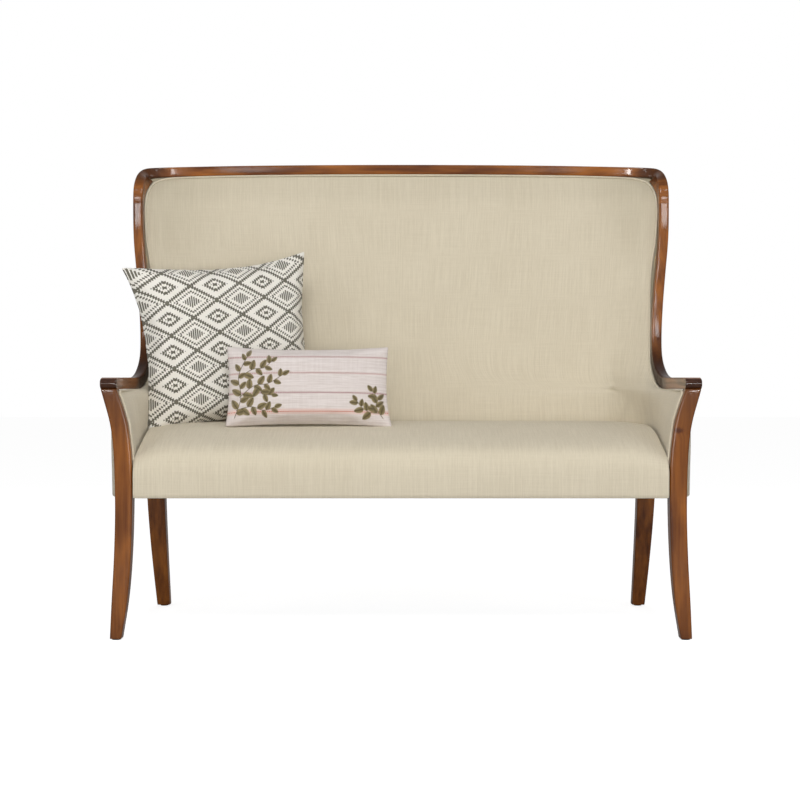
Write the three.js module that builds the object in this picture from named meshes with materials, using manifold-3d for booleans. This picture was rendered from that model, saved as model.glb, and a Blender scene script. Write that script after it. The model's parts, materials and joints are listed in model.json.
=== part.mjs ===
// High back settee with a show wood hoop, upholstered seat, back and arms, and two loose cushions.
// Millimetres. +X is to the sitter's left hand, seen from the front as right, +Z is up, and the front
// faces -Y. Places in depth are measured back from the front plane and shifted once, when a mesh is made.

import * as THREE from 'three';
import { mergeVertices } from 'three/addons/utils/BufferGeometryUtils.js';
import Module from 'manifold-3d';

const wasm = await Module();
wasm.setup();

// Driving dimensions of the whole settee
const overallHeight = 1270;
const overallWidth = 1510;
const overallDepth = 690;
const armHeight = 653;
const apronHeight = 352;
const seatCrownHeight = 535;
const touchGap = 0.3;
const softGap = 1.2;

const halfWidth = overallWidth / 2;

// Show wood hoop
const railFace = 27.5;
const railDepth = 30;
const crestDepth = 45;
const armWidth = 41;
const railEdgeCut = 2.5;
const cornerWebWidth = 16;

// Legs and their glides
const legFootDepth = 36;
const legSeatDepth = 44;
const legSetBack = 8;
const rearLegFootWidth = 36;
const rearLegSeatWidth = 50;
const rearLegFootDepth = 35;
const rearLegSeatDepth = 44;
const backPostWidth = 24;
const rearFootRun = 590;
const rearFootInner = 661;
const railBackGap = 2;
const glideRadius = 11;
const glideThickness = 3;

// Upholstery layers, from the outside in
const coverThickness = 5;
const frameThickness = 20;
const webbingThickness = 1.6;
const sidePadReachLow = 80;
const sidePadReachHigh = 54;
const frameClearance = 3.5;
const backPadReachLow = 88;
const backPadReachHigh = 44;
const outerCornerRadiusLow = 40;
const outerCornerRadiusHigh = 70;
const padBackCornerRadius = 115;
const padFaceCornerRadius = 130;
const backRunLow = 600;
const backBowLow = 30;
const backBowHigh = 50;
const armBulge = 28;
const padSwellRun = 75;
const padEdgeThickness = 3;

// Seat frame, springs and filling
const seatRailHeight = 62;
const seatRailThickness = 25;
const seatRailLift = 5;
const seatGap = 3.5;
const springSpread = 560;
const dustCoverThickness = 1.5;
const springWire = 3.6;
const springWidth = 46;
const springCount = 7;
const springBends = 12;
const insulatorThickness = 2;
const blockLength = 62;
const blockHeight = 45;
const screwRadius = 2.6;
const screwLength = 44;
const screwHeadRadius = 5;
const screwHeadThickness = 3;
const crossRailHeight = 46;
const crossRailThickness = 24;

// Back and arm frame
const tackRailHeight = 36;
const lowerBackRailLift = 110;
const wingPostDepth = 30;
const wingPostRun = 325;
const centrePostWidth = 40;
const webbingWidth = 50;

// Loose cushions, each with its middle a share of its height above the seat's crown
const fullTurn = Math.PI * 2;
const drawnInShare = 0.055;
const largeCushion = {
  width: 474, height: 444, thickness: 128, x: -474, depth: 366, standShare: 0.5117, taperShare: 0.06,
  leanTurn: 0.012, yawTurn: 0.056, rollTurn: -0.013,
};
const smallCushion = {
  width: 425, height: 208, thickness: 88, x: -245, depth: 236, standShare: 0.448, taperShare: 0,
  leanTurn: 0.025, yawTurn: 0.008, rollTurn: 0,
};

// Colours of the finishes
const finishes = {
  wood: { color: 0x6d4022, roughness: 0.28, metalness: 0 },
  frame: { color: 0xb08a5a, roughness: 0.8, metalness: 0 },
  linen: { color: 0xcbc0a7, roughness: 0.92, metalness: 0 },
  printed: { color: 0xb9b4a2, roughness: 0.9, metalness: 0 },
  striped: { color: 0xddd2c6, roughness: 0.9, metalness: 0 },
  steel: { color: 0x8f9296, roughness: 0.4, metalness: 0.9 },
  webbing: { color: 0x9a8560, roughness: 0.95, metalness: 0 },
  foam: { color: 0xe8dfc0, roughness: 0.95, metalness: 0 },
  cambric: { color: 0x26262a, roughness: 0.95, metalness: 0 },
  felt: { color: 0x3c342c, roughness: 0.9, metalness: 0 },
};

const settee = new THREE.Group();

// Small helpers for numbers

function mix(low, high, share) {
  return low + (high - low) * share;
}

function clamp01(value) {
  return Math.min(1, Math.max(0, value));
}

function ease(value) {
  const t = clamp01(value);
  return t * t * (3 - 2 * t);
}

function steps(count) {
  return Array.from({ length: count + 1 }, (_, index) => index / count);
}

// A row is a key followed by values. The rows are read at any key by a smooth curve through them.
function readRows(rows, key) {
  const last = rows.length - 1;
  if (key <= rows[0][0]) return rows[0].slice(1);
  if (key >= rows[last][0]) return rows[last].slice(1);
  let at = 0;
  while (rows[at + 1][0] < key) at += 1;
  const span = rows[at + 1][0] - rows[at][0];
  const t = (key - rows[at][0]) / span;
  return rows[at].slice(1).map((value, index) => {
    const column = index + 1;
    const slope = (row) => {
      const before = rows[Math.max(0, row - 1)];
      const after = rows[Math.min(last, row + 1)];
      return ((after[column] - before[column]) / (after[0] - before[0])) * span;
    };
    const next = rows[at + 1][column];
    const t2 = t * t;
    const t3 = t2 * t;
    return (2 * t3 - 3 * t2 + 1) * value + (t3 - 2 * t2 + t) * slope(at)
      + (3 * t2 - 2 * t3) * next + (t3 - t2) * slope(at + 1);
  });
}

// Rows sorted by key and read by straight lines, for dense samples of a curve.
function readSamples(samples, key) {
  const last = samples.length - 1;
  if (key <= samples[0][0]) return samples[0].slice(1);
  if (key >= samples[last][0]) return samples[last].slice(1);
  let at = 0;
  while (samples[at + 1][0] < key) at += 1;
  const t = (key - samples[at][0]) / (samples[at + 1][0] - samples[at][0]);
  return samples[at].slice(1).map((value, index) => mix(value, samples[at + 1][index + 1], t));
}

// Closed meshes

// The triangles that fill a ring, wound as the ring is: rungs join its first half to its second half.
function fillRing(ring) {
  const last = ring.length - 1;
  const faces = [];
  for (let at = 0; at < Math.floor(last / 2); at += 1) {
    faces.push([at, at + 1, last - at]);
    if (last - at - 1 > at + 1) faces.push([at + 1, last - at - 1, last - at]);
  }
  return faces;
}

function signedVolume(points, index) {
  let volume = 0;
  for (let at = 0; at < index.length; at += 3) {
    const [a, b, c] = [points[index[at]], points[index[at + 1]], points[index[at + 2]]];
    volume += a.dot(new THREE.Vector3().crossVectors(b, c));
  }
  return volume;
}

function meshGeometry(points, index) {
  const ordered = signedVolume(points, index) < 0 ? index.slice().reverse() : index;
  const geometry = new THREE.BufferGeometry();
  geometry.setAttribute('position', new THREE.Float32BufferAttribute(points.flatMap((p) => p.toArray()), 3));
  geometry.setIndex(ordered);
  return geometry;
}

// A closed solid through rings that all have the same number of points.
function loft(rings) {
  const count = rings[0].length;
  const index = [];
  for (let row = 0; row < rings.length - 1; row += 1) {
    for (let at = 0; at < count; at += 1) {
      const next = (at + 1) % count;
      const [a, b] = [row * count + at, row * count + next];
      const [c, d] = [a + count, b + count];
      index.push(a, b, d, a, d, c);
    }
  }
  const lastRow = (rings.length - 1) * count;
  fillRing(rings[0]).forEach(([a, b, c]) => index.push(a, c, b));
  fillRing(rings[rings.length - 1]).forEach(([a, b, c]) => index.push(lastRow + a, lastRow + b, lastRow + c));
  return meshGeometry(rings.flat(), index);
}

function mirrored(geometry) {
  const copy = geometry.clone();
  const place = copy.getAttribute('position');
  for (let at = 0; at < place.count; at += 1) place.setX(at, -place.getX(at));
  copy.setIndex(Array.from(copy.index.array).reverse());
  return copy;
}

function toSolid(geometry) {
  const bare = geometry.clone();
  bare.deleteAttribute('normal');
  bare.deleteAttribute('uv');
  const merged = mergeVertices(bare);
  return new wasm.Manifold(new wasm.Mesh({
    numProp: 3,
    vertProperties: new Float32Array(merged.getAttribute('position').array),
    triVerts: new Uint32Array(merged.index.array),
  }));
}

function fromSolid(solid) {
  const mesh = solid.getMesh();
  const geometry = new THREE.BufferGeometry();
  geometry.setAttribute('position', new THREE.Float32BufferAttribute(Array.from(mesh.vertProperties), 3));
  geometry.setIndex(Array.from(mesh.triVerts));
  return geometry;
}

function box(xLow, xHigh, depthLow, depthHigh, zLow, zHigh) {
  const geometry = new THREE.BoxGeometry(xHigh - xLow, depthHigh - depthLow, zHigh - zLow);
  geometry.translate((xLow + xHigh) / 2, (depthLow + depthHigh) / 2, (zLow + zHigh) / 2);
  return geometry;
}

function add(name, geometry, finish) {
  const mesh = new THREE.Mesh(geometry, new THREE.MeshStandardMaterial(finishes[finish]));
  mesh.name = name;
  mesh.position.y = -overallDepth / 2;
  settee.add(mesh);
}

function addPair(name, geometry, finish) {
  add(`${name}_right`, geometry, finish);
  add(`${name}_left`, mirrored(geometry), finish);
}

// The hoop runs back along the arm, sweeps up the wing, turns the corner and crosses the crest.
// It is followed along the outer edge of its front face.

// Shares of the half width and of the depth, along the arm.
const armLineShares = [
  [0.9907, 0.0018], [0.9874, 0.1], [0.9808, 0.22], [0.9722, 0.33], [0.9642, 0.42],
];
// Shares of the half width, of the depth and of the height above the arm, up the wing and over.
const hoopLineShares = [
  [0.9596, 0.4783, 0.0065], [0.9546, 0.5362, 0.034], [0.9505, 0.5797, 0.0778], [0.951, 0.6087, 0.1232],
  [0.9555, 0.6377, 0.2139], [0.9669, 0.6739, 0.3501], [0.9815, 0.7101, 0.4878], [0.9955, 0.7391, 0.6272],
  [1, 0.7536, 0.7666], [1, 0.7638, 0.8703], [0.996, 0.7826, 0.9125], [0.9868, 0.8058, 0.9449],
  [0.9682, 0.8319, 0.966], [0.9272, 0.8551, 0.9741], [0.7722, 0.89, 0.9846],
];
const crestMiddleShares = [[0.5298, 0.9935], [0.2649, 0.9984], [0, 1]];
const crestFrontRun = overallDepth - crestDepth;

function crestRun(x) {
  const share = x / halfWidth;
  return crestFrontRun - backBowHigh * share * share;
}

const hoopPoints = [
  ...armLineShares.map(([x, d]) => new THREE.Vector3(x * halfWidth, d * overallDepth, armHeight)),
  ...hoopLineShares.map(([x, d, z]) => new THREE.Vector3(
    x * halfWidth, d * overallDepth, mix(armHeight, overallHeight, z),
  )),
  ...crestMiddleShares.map(([x, z]) => new THREE.Vector3(
    x * halfWidth, crestRun(x * halfWidth), mix(armHeight, overallHeight, z),
  )),
];
const hoopLine = new THREE.CatmullRomCurve3([
  ...hoopPoints,
  ...hoopPoints.slice(0, -1).reverse().map((p) => new THREE.Vector3(-p.x, p.y, p.z)),
], false, 'centripetal');
const hoopSampleCount = 640;
const hoopHalfSamples = hoopSampleCount / 2;

// The place of a named stretch of the hoop, as a share of its whole length.
const hoopTable = steps(hoopSampleCount).map((share) => hoopLine.getPointAt(share));
const armEndShare = hoopTable.findIndex((p) => p.y > 0.44 * overallDepth) / hoopSampleCount;
const wingTopShare = hoopTable.findIndex((p) => p.z > mix(armHeight, overallHeight, 0.79)) / hoopSampleCount;

// Across the front face towards the inside, and from the front face into the wood.
function hoopFrame(share) {
  const point = hoopLine.getPointAt(share);
  const along = hoopLine.getTangentAt(share);
  const side = share <= 0.5 ? 1 : -1;
  const flatAlong = new THREE.Vector3(along.x, 0, along.z);
  const turned = new THREE.Vector3(-flatAlong.z, 0, flatAlong.x).normalize();
  const rise = (point.z - armHeight) / (overallHeight - armHeight);
  const raw = new THREE.Vector3(-side, 0, 0).lerp(turned, ease((rise - 0.08) / 0.3));
  const across = raw.addScaledVector(along, -raw.dot(along)).normalize();
  const toCorner = Math.min(share, 1 - share);
  const upright = ease((toCorner - cornerStartShare) / (cornerMiddleShare - cornerStartShare));
  const corner = upright * ease((cornerEndShare - toCorner) / (cornerEndShare - cornerMiddleShare));
  const straightBack = new THREE.Vector3(0, 1, 0);
  const into = new THREE.Vector3().crossVectors(across, along).lerp(straightBack, upright).normalize();
  const toCrest = ease((toCorner - cornerStartShare) / (cornerEndShare - cornerStartShare));
  const toWing = ease(toCorner / armEndShare);
  return {
    point,
    across,
    into,
    face: mix(armWidth, railFace, toWing),
    depth: mix(railDepth, crestDepth, toCrest),
    web: cornerWebWidth * corner,
  };
}

const hoopShareAbove = (share) => hoopTable.findIndex(
  (p) => p.z > mix(armHeight, overallHeight, share),
) / hoopSampleCount;
const cornerStartShare = hoopShareAbove(0.8);
const cornerMiddleShare = hoopShareAbove(0.945);
const cornerEndShare = hoopTable.findIndex(
  (p, index) => index > cornerMiddleShare * hoopSampleCount && p.x < 0.86 * halfWidth,
) / hoopSampleCount;

const cornerUnderShare = hoopShareAbove(0.86);

// The hoop's section: the front edges are eased, and the web widens the back of the corners.
function hoopRing(share, spread, thicknessShare = 1) {
  const { point, across, into, face, depth, web } = hoopFrame(share);
  const cut = railEdgeCut;
  const middle = depth / 2;
  const outline = [
    [-spread, cut - spread], [cut - spread, -spread],
    [face - cut + spread, -spread], [face + spread, cut - spread],
    [face + web + spread, depth + spread], [-spread, depth + spread],
  ];
  return outline.map(([a, b]) => point.clone()
    .addScaledVector(across, a)
    .addScaledVector(into, middle + (b - middle) * thicknessShare));
}

function hoopStretch(from, to, count, spread = 0) {
  return steps(count).map((share) => hoopRing(mix(from, to, share), spread));
}

const hoopLength = hoopLine.getLength();
const seamShare = touchGap / 2 / hoopLength;

// The arm ends in a half round nose.
function armRail() {
  const noseRadius = railDepth / 2;
  const nose = [0.12, 0.32, 0.56, 0.8].map((turn) => {
    const angle = turn * Math.PI / 2;
    const back = noseRadius * (1 - Math.cos(angle)) / hoopLength;
    return hoopRing(back, 0, Math.sin(angle));
  });
  return loft([...nose, ...hoopStretch(noseRadius / hoopLength, armEndShare - seamShare, 8)]);
}

function crestRail() {
  const start = wingTopShare + seamShare;
  const shares = [
    ...steps(14).map((t) => mix(start, cornerEndShare, t)),
    ...steps(10).slice(1).map((t) => mix(cornerEndShare, 0.5, t)),
  ];
  const whole = [...shares, ...shares.slice(0, -1).reverse().map((share) => 1 - share)];
  return loft(whole.map((share) => hoopRing(share, 0)));
}

addPair('arm_rail', armRail(), 'wood');
addPair('wing_rail', loft(hoopStretch(armEndShare + seamShare, wingTopShare - seamShare, 22)), 'wood');
add('crest_rail', crestRail(), 'wood');

// What lies behind the hoop is found from samples of its edges.
const wingSamples = [];
const wingInnerSamples = [];
const crestUnderSamples = [];
for (let at = 0; at <= hoopHalfSamples; at += 1) {
  const share = at / hoopSampleCount;
  const { point, across, into, face, depth, web } = hoopFrame(share);
  if (share > armEndShare * 0.9 && share < cornerMiddleShare) {
    const back = point.clone().addScaledVector(into, depth);
    const inner = back.clone().addScaledVector(across, face + web);
    wingSamples.push([back.z, back.y, point.x]);
    wingInnerSamples.push([inner.z, inner.y]);
  }
  if (share > cornerUnderShare) {
    const under = point.clone().addScaledVector(across, face + web).addScaledVector(into, depth);
    crestUnderSamples.push([under.x, under.z, under.y]);
  }
}
wingSamples.sort((a, b) => a[0] - b[0]);
wingInnerSamples.sort((a, b) => a[0] - b[0]);
crestUnderSamples.sort((a, b) => a[0] - b[0]);

function crestUnder(x) {
  return readSamples(crestUnderSamples, Math.abs(x))[0];
}

// Front legs: each is one piece with its arm post. Shares of the post height and of the half width.
const postTop = armHeight - railDepth - touchGap;
const frontLegWidthShares = [
  [0, 0.9205, 0.9583], [0.16, 0.9007, 0.9531], [0.321, 0.8907, 0.9465], [0.52, 0.8861, 0.943],
  [0.72, 0.8874, 0.9465], [0.799, 0.894, 0.951], [0.862, 0.9007, 0.9576], [0.91, 0.9099, 0.9682],
  [0.958, 0.9252, 0.9795], [1, 0.9364, 0.9894],
];
const legEdgeCut = 3;

function cutRectangle(xLow, xHigh, depthLow, depthHigh, z) {
  const cut = legEdgeCut;
  return [
    [xLow + cut, depthLow], [xHigh - cut, depthLow], [xHigh, depthLow + cut], [xHigh, depthHigh - cut],
    [xHigh - cut, depthHigh], [xLow + cut, depthHigh], [xLow, depthHigh - cut], [xLow, depthLow + cut],
  ].map(([x, d]) => new THREE.Vector3(x, d, z));
}

function postWidth(z) {
  const rows = frontLegWidthShares.map(
    ([share, inner, outer]) => [share, inner * halfWidth, outer * halfWidth],
  );
  return readRows(rows, z / postTop);
}

const postFrontRows = [
  [0, 0], [apronHeight * 0.6, legSetBack * 0.75], [apronHeight, legSetBack], [postTop, legSetBack / 2],
];
const postDepthRows = [[0, legFootDepth], [apronHeight, legSeatDepth], [postTop, legSeatDepth - legEdgeCut]];

function postFront(z) {
  return readRows(postFrontRows, z)[0];
}

function postBack(z) {
  return postFront(z) + readRows(postDepthRows, z)[0];
}

const frontLegRings = steps(16).map((share) => {
  const z = mix(glideThickness + touchGap, postTop, share);
  const [inner, outer] = postWidth(z);
  return cutRectangle(inner, outer, postFront(z), postBack(z), z);
});
addPair('front_leg', loft(frontLegRings), 'wood');

// The upholstered shell in plan: a side, a rounded corner and a bowed back, at any height.
// An outline is given from its front edge to the middle of the back, set in from the outside.
const armUnder = armHeight - railDepth;
const ledge = armUnder - railBackGap;

function shellRise(z) {
  return (z - apronHeight) / (overallHeight - apronHeight);
}

function backRun(x, z) {
  const share = x / halfWidth;
  const rise = shellRise(z);
  return mix(backRunLow, overallDepth, rise) - mix(backBowLow, backBowHigh, rise) * share * share;
}

function shellFront(z) {
  const post = postBack(Math.min(z, postTop)) + touchGap;
  if (z <= ledge) return post;
  const height = z + railBackGap;
  const backs = [wingSamples, wingInnerSamples].map((samples) => readSamples(samples, height)[0]);
  return Math.max(...backs) + railBackGap;
}

const wingLow = wingSamples[0];

function outerSide(depth, z) {
  if (z > armHeight) return readSamples(wingSamples, z)[1];
  const [, outer] = postWidth(Math.min(z, postTop));
  const rear = wingLow[2] + armBulge * 0.2 * (1 - z / armHeight);
  const along = clamp01((depth - legSeatDepth) / (backRunLow - legSeatDepth - outerCornerRadiusHigh));
  const swell = armBulge * ease((armUnder - z) / (armUnder - seatCrownHeight) / 1.6);
  return mix(outer, rear, ease(along / 0.6)) + swell * Math.sin(Math.PI * along ** 0.6);
}

// How far the face of the pads stands in from the outside.
function sideReach(depth, z) {
  const [inner, outer] = postWidth(Math.min(z, postTop));
  const edge = z > ledge ? railFace : outer - inner;
  return mix(edge, fullSideReach(z), ease((depth - shellFront(z)) / padSwellRun));
}

function fullSideReach(z) {
  const rise = (z - apronHeight) / (armHeight - apronHeight);
  return mix(sidePadReachLow, sidePadReachHigh, ease(rise * 1.6 - 0.6));
}

function backReach(z) {
  return mix(backPadReachLow, backPadReachHigh, (z - seatCrownHeight) / (overallHeight - seatCrownHeight));
}

const coverInside = coverThickness + touchGap;
const frameInside = coverInside + frameThickness;
const padOutside = frameInside + webbingThickness + softGap * 2;

const layers = {
  coverOut: { full: () => 0, side: () => 0, back: () => 0, radius: (z) => cornerRadius(z) },
  coverIn: {
    full: () => coverThickness,
    side: () => coverThickness,
    back: () => coverThickness,
    radius: (z) => cornerRadius(z) - coverThickness,
  },
  padOut: {
    full: () => padOutside,
    side: (depth, z) => Math.min(padOutside, sideReach(depth, z) - padEdgeThickness),
    back: () => padOutside,
    radius: () => padBackCornerRadius,
  },
  padIn: { full: fullSideReach, side: sideReach, back: backReach, radius: () => padFaceCornerRadius },
};

function cornerRadius(z) {
  return mix(outerCornerRadiusLow, outerCornerRadiusHigh, shellRise(z));
}

// The corner of a layer: where its rounding starts and the middle of its arc.
function layerCorner(layer, z) {
  const { full, back } = layers[layer];
  const radius = layers[layer].radius(z);
  let start = backRun(halfWidth, z) - radius;
  let centreX = 0;
  for (let pass = 0; pass < 3; pass += 1) {
    centreX = outerSide(start, z) - full(z) - radius;
    start = backRun(centreX, z) - back(z) - radius;
  }
  return { radius, start, centreX };
}

// The place of a layer across the settee at any depth. The pads' edge tucks in behind the show wood.
function layerAcross(layer, depth, z) {
  const { radius, start, centreX } = layerCorner(layer, z);
  const full = layers[layer].full(z);
  const tuck = full - layers[layer].side(depth, z);
  if (depth <= start) return outerSide(depth, z) - full + tuck;
  return centreX + radius * Math.sqrt(1 - clamp01((depth - start) / radius) ** 2) + tuck;
}

const sideShares = [0, 0.08, 0.2, 0.4, 0.7];
const cornerTurns = [0, 0.2, 0.4, 0.6, 0.8, 1];
const edgeStepShare = 0.02;
const splitX = halfWidth * 0.69;

// One layer at one height, from the front edge back and round the corner to the split.
function layerSide(layer, z, end) {
  const { radius, start } = layerCorner(layer, z);
  const front = shellFront(z);
  const run = start + radius - front;
  const turnStart = Math.max(start, front + run * edgeStepShare * sideShares.length);
  const straight = sideShares.map((share) => mix(front, turnStart, share));
  const firstTurn = Math.asin(clamp01((turnStart - start) / radius));
  const turned = cornerTurns.map((turn) => start + radius * Math.sin(mix(firstTurn, Math.PI / 2, turn)));
  const side = [...straight, ...turned].map((depth) => [layerAcross(layer, depth, z), depth]);
  return [...side, [end, layerBack(layer, end, z)]];
}

function layerBack(layer, x, z) {
  return backRun(x, z) - layers[layer].back(z);
}

// The depth of a layer at any place across the settee.
function layerDepth(layer, x, z) {
  const { radius, start, centreX } = layerCorner(layer, z);
  const over = Math.abs(x) - centreX;
  if (over <= 0) return layerBack(layer, x, z);
  const share = clamp01(over / radius);
  return start + radius * Math.sqrt(1 - share * share);
}

// The heights of a piece are shares of its rise, with a step under the arm rail and a close run where
// the wing sweeps up. The lifts around the step are in thirtieths of the rail's depth.
const ledgeRail = 30;
const riseShares = [0, 0.08, 0.16, 0.24, 0.31, 0.38, 0.45, 0.54, 0.63, 0.72, 0.81, 0.88, 0.94, 1];
const ledgeLifts = [-95, -65, -40, -20, 0, 0.4, 4, 10, 18, 30, 48, 70, 95, 125];

function sideHeights(low, high) {
  const sweep = ledgeLifts
    .map((lift) => ledge + lift * railDepth / ledgeRail)
    .filter((z) => z > low + railDepth);
  const first = sweep[0] - railDepth / 2;
  const last = sweep[sweep.length - 1] + railDepth / 2;
  const even = riseShares.map((share) => mix(low, high, share)).filter((z) => z < first || z > last);
  return [...even, ...sweep].sort((a, b) => a - b);
}

// A point of a layer where the piece stops under the crest: its height follows the crest's underside.
function settledPoint(share, low, clearance, pointAt) {
  const nominal = crestUnder(halfWidth) - clearance;
  const bend = ledge + ledgeLifts[ledgeLifts.length - 1] * railDepth / ledgeRail;
  let z = mix(low, nominal, share);
  for (let pass = 0; pass < 3; pass += 1) {
    const [x] = pointAt(z);
    const top = crestUnder(x) - clearance;
    const flat = mix(low, nominal, share);
    const stretch = clamp01((flat - bend) / (nominal - bend));
    z = flat + (top - nominal) * stretch;
  }
  const [x, depth] = pointAt(z);
  return new THREE.Vector3(x, depth, z);
}

function pieceShares(low, clearance) {
  const nominal = crestUnder(halfWidth) - clearance;
  return sideHeights(low, nominal).map((height) => [height, (height - low) / (nominal - low)]);
}

function sidePiece(inside, outside, low, clearance) {
  return loft(pieceShares(low, clearance).map(([height, share]) => {
    const end = splitX + touchGap;
    const count = layerSide(inside, height, end).length;
    const row = (layer) => Array.from({ length: count }, (_, at) => settledPoint(
      share, low, clearance, (z) => layerSide(layer, z, end)[at],
    ));
    return [...row(inside), ...row(outside).reverse()];
  }));
}

const backShares = [-1, -0.75, -0.5, -0.25, 0, 0.25, 0.5, 0.75, 1];

function backPiece(inside, outside, low, clearance) {
  const end = splitX - touchGap;
  return loft(pieceShares(low, clearance).map(([, share]) => {
    const row = (layer) => backShares.map((across) => settledPoint(
      share, low, clearance, (z) => [across * end, layerBack(layer, across * end, z)],
    ));
    return [...row(inside), ...row(outside).reverse()];
  }));
}

// Seat frame heights
const railBottom = apronHeight + seatRailLift;
const railTop = railBottom + seatRailHeight;
const springHeight = railTop + touchGap + springWire / 2;
const deckHeight = springHeight + springWire / 2 + insulatorThickness + touchGap * 2;
const padBottom = deckHeight + softGap;

addPair('side_pad', sidePiece('padIn', 'padOut', padBottom, softGap), 'linen');
add('inside_back_pad', backPiece('padIn', 'padOut', padBottom, softGap), 'linen');
addPair('outside_arm_cover', sidePiece('coverIn', 'coverOut', apronHeight, softGap * 3), 'linen');
add('outside_back_cover', backPiece('coverIn', 'coverOut', apronHeight, softGap * 3), 'linen');

// Rear legs: each runs up inside the corner of the back as its post.
function rearPostRing(z) {
  const { radius, start, centreX } = layerCorner('coverIn', z);
  const turned = radius * Math.SQRT1_2;
  const outer = [centreX + turned - touchGap, start + turned - touchGap];
  const up = ease((z - mix(apronHeight, railTop, 0.35)) / (railTop - mix(apronHeight, railTop, 0.35)));
  const width = mix(rearLegSeatWidth, backPostWidth, up);
  const depth = mix(rearLegSeatDepth, backPostWidth, up);
  return [outer[0] - width, outer[0], outer[1] - depth, outer[1]];
}

function rearLegRing(z) {
  if (z >= apronHeight) return cutRectangle(...rearPostRing(z), z);
  const top = rearPostRing(apronHeight);
  const foot = [rearFootInner, rearFootInner + rearLegFootWidth, rearFootRun, rearFootRun + rearLegFootDepth];
  const fall = 1 - z / apronHeight;
  const sweep = fall ** 1.35;
  const shares = [fall, sweep, sweep, sweep];
  return cutRectangle(...top.map((edge, at) => mix(edge, foot[at], shares[at])), z);
}

const rearPostTop = crestUnder(halfWidth) - softGap * 2;
const rearLegHeights = [
  ...steps(8).map((share) => mix(glideThickness + touchGap, apronHeight, share)),
  ...steps(4).slice(1).map((share) => mix(apronHeight, railTop, share)),
  ...steps(6).slice(1).map((share) => mix(railTop, rearPostTop, share)),
];
addPair('rear_leg', loft(rearLegHeights.map(rearLegRing)), 'wood');

// Glides under the four feet
function glide(x, depth) {
  const disc = new THREE.CylinderGeometry(glideRadius, glideRadius, glideThickness, 16);
  disc.rotateX(Math.PI / 2);
  return disc.translate(x, depth, glideThickness / 2);
}

const [footInner, footOuter] = postWidth(0);
addPair('front_glide', glide((footInner + footOuter) / 2, legFootDepth / 2), 'felt');
addPair(
  'rear_glide',
  glide(rearFootInner + rearLegFootWidth / 2, rearFootRun + rearLegFootDepth / 2),
  'felt',
);

// Seat frame
const postInnerLow = Math.min(...steps(8).map((t) => postWidth(mix(apronHeight, seatCrownHeight, t))[0]));
const frontRailFront = legSetBack + coverThickness + softGap;
const frontRailBack = frontRailFront + seatRailThickness;
const rearLegBox = [rearPostRing(railBottom), rearPostRing(mix(railBottom, railTop, 0.4))];
const rearLegInner = Math.min(...rearLegBox.map((ring) => ring[0]));
const rearLegFront = Math.min(...rearLegBox.map((ring) => ring[2]));
const rearRailFront = rearLegFront + seatRailThickness * 0.7;
const rearRailBack = rearRailFront + seatRailThickness;
const sideRailInner = postInnerLow - touchGap;
const frameX = postInnerLow - touchGap;

add('front_seat_rail', box(-frameX, frameX, frontRailFront, frontRailBack, railBottom, railTop), 'frame');
add(
  'rear_seat_rail',
  box(touchGap - rearLegInner, rearLegInner - touchGap, rearRailFront, rearRailBack, railBottom, railTop),
  'frame',
);
addPair('side_seat_rail', box(
  sideRailInner,
  sideRailInner + seatRailThickness,
  postBack(apronHeight) + touchGap * 4,
  rearLegFront - touchGap,
  railBottom,
  railTop,
), 'frame');

const crossRailTop = railTop - springWire;
const crossX = springSpread / springCount * 2.5;
addPair('seat_cross_rail', box(
  crossX,
  crossX + crossRailThickness,
  frontRailBack + touchGap,
  rearRailFront - touchGap,
  crossRailTop - crossRailHeight,
  crossRailTop,
), 'frame');

// Corner blocks, each held by a screw through its middle into the joint
const blockLow = railBottom + (seatRailHeight - blockHeight) / 2;

function prism(corners, low, high) {
  return loft([low, high].map((z) => corners.map(([x, d]) => new THREE.Vector3(x, d, z))));
}

const blockHoleRadius = screwRadius + touchGap;

function screwAlong(x, depth, dirX, dirDepth, radius, length, sides) {
  const shaft = new THREE.CylinderGeometry(radius, radius, length, sides);
  shaft.rotateZ(Math.PI / 2);
  shaft.rotateZ(Math.atan2(dirDepth, dirX));
  return shaft.translate(x + dirX * length / 2, depth + dirDepth * length / 2, blockLow + blockHeight / 2);
}

function cornerBlock(name, x, depth, away) {
  const outline = [[x, depth], [x - blockLength, depth], [x, depth + away * blockLength]];
  const diagonal = [Math.SQRT1_2, -away * Math.SQRT1_2];
  const middle = [x - blockLength / 2, depth + away * blockLength / 2];
  const hole = screwAlong(
    middle[0] - diagonal[0] * screwLength, middle[1] - diagonal[1] * screwLength,
    ...diagonal, blockHoleRadius, screwLength * 3, 12,
  );
  const block = toSolid(prism(outline, blockLow, blockLow + blockHeight)).subtract(toSolid(hole));
  addPair(name, fromSolid(block), 'frame');
  const shank = screwAlong(
    middle[0] - diagonal[0] * touchGap, middle[1] - diagonal[1] * touchGap,
    ...diagonal, screwRadius, blockLength * Math.SQRT1_2 - touchGap * 6, 10,
  );
  const headReach = screwHeadThickness + touchGap;
  const head = screwAlong(
    middle[0] - diagonal[0] * headReach, middle[1] - diagonal[1] * headReach,
    ...diagonal, screwHeadRadius, screwHeadThickness, 10,
  );
  addPair(`${name}_screw`, fromSolid(toSolid(shank).add(toSolid(head))), 'steel');
}

cornerBlock('front_block', frameX - touchGap, frontRailBack + touchGap, 1);
cornerBlock('rear_block', Math.min(rearLegInner, sideRailInner) - touchGap * 2, rearRailFront - touchGap, -1);

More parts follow.
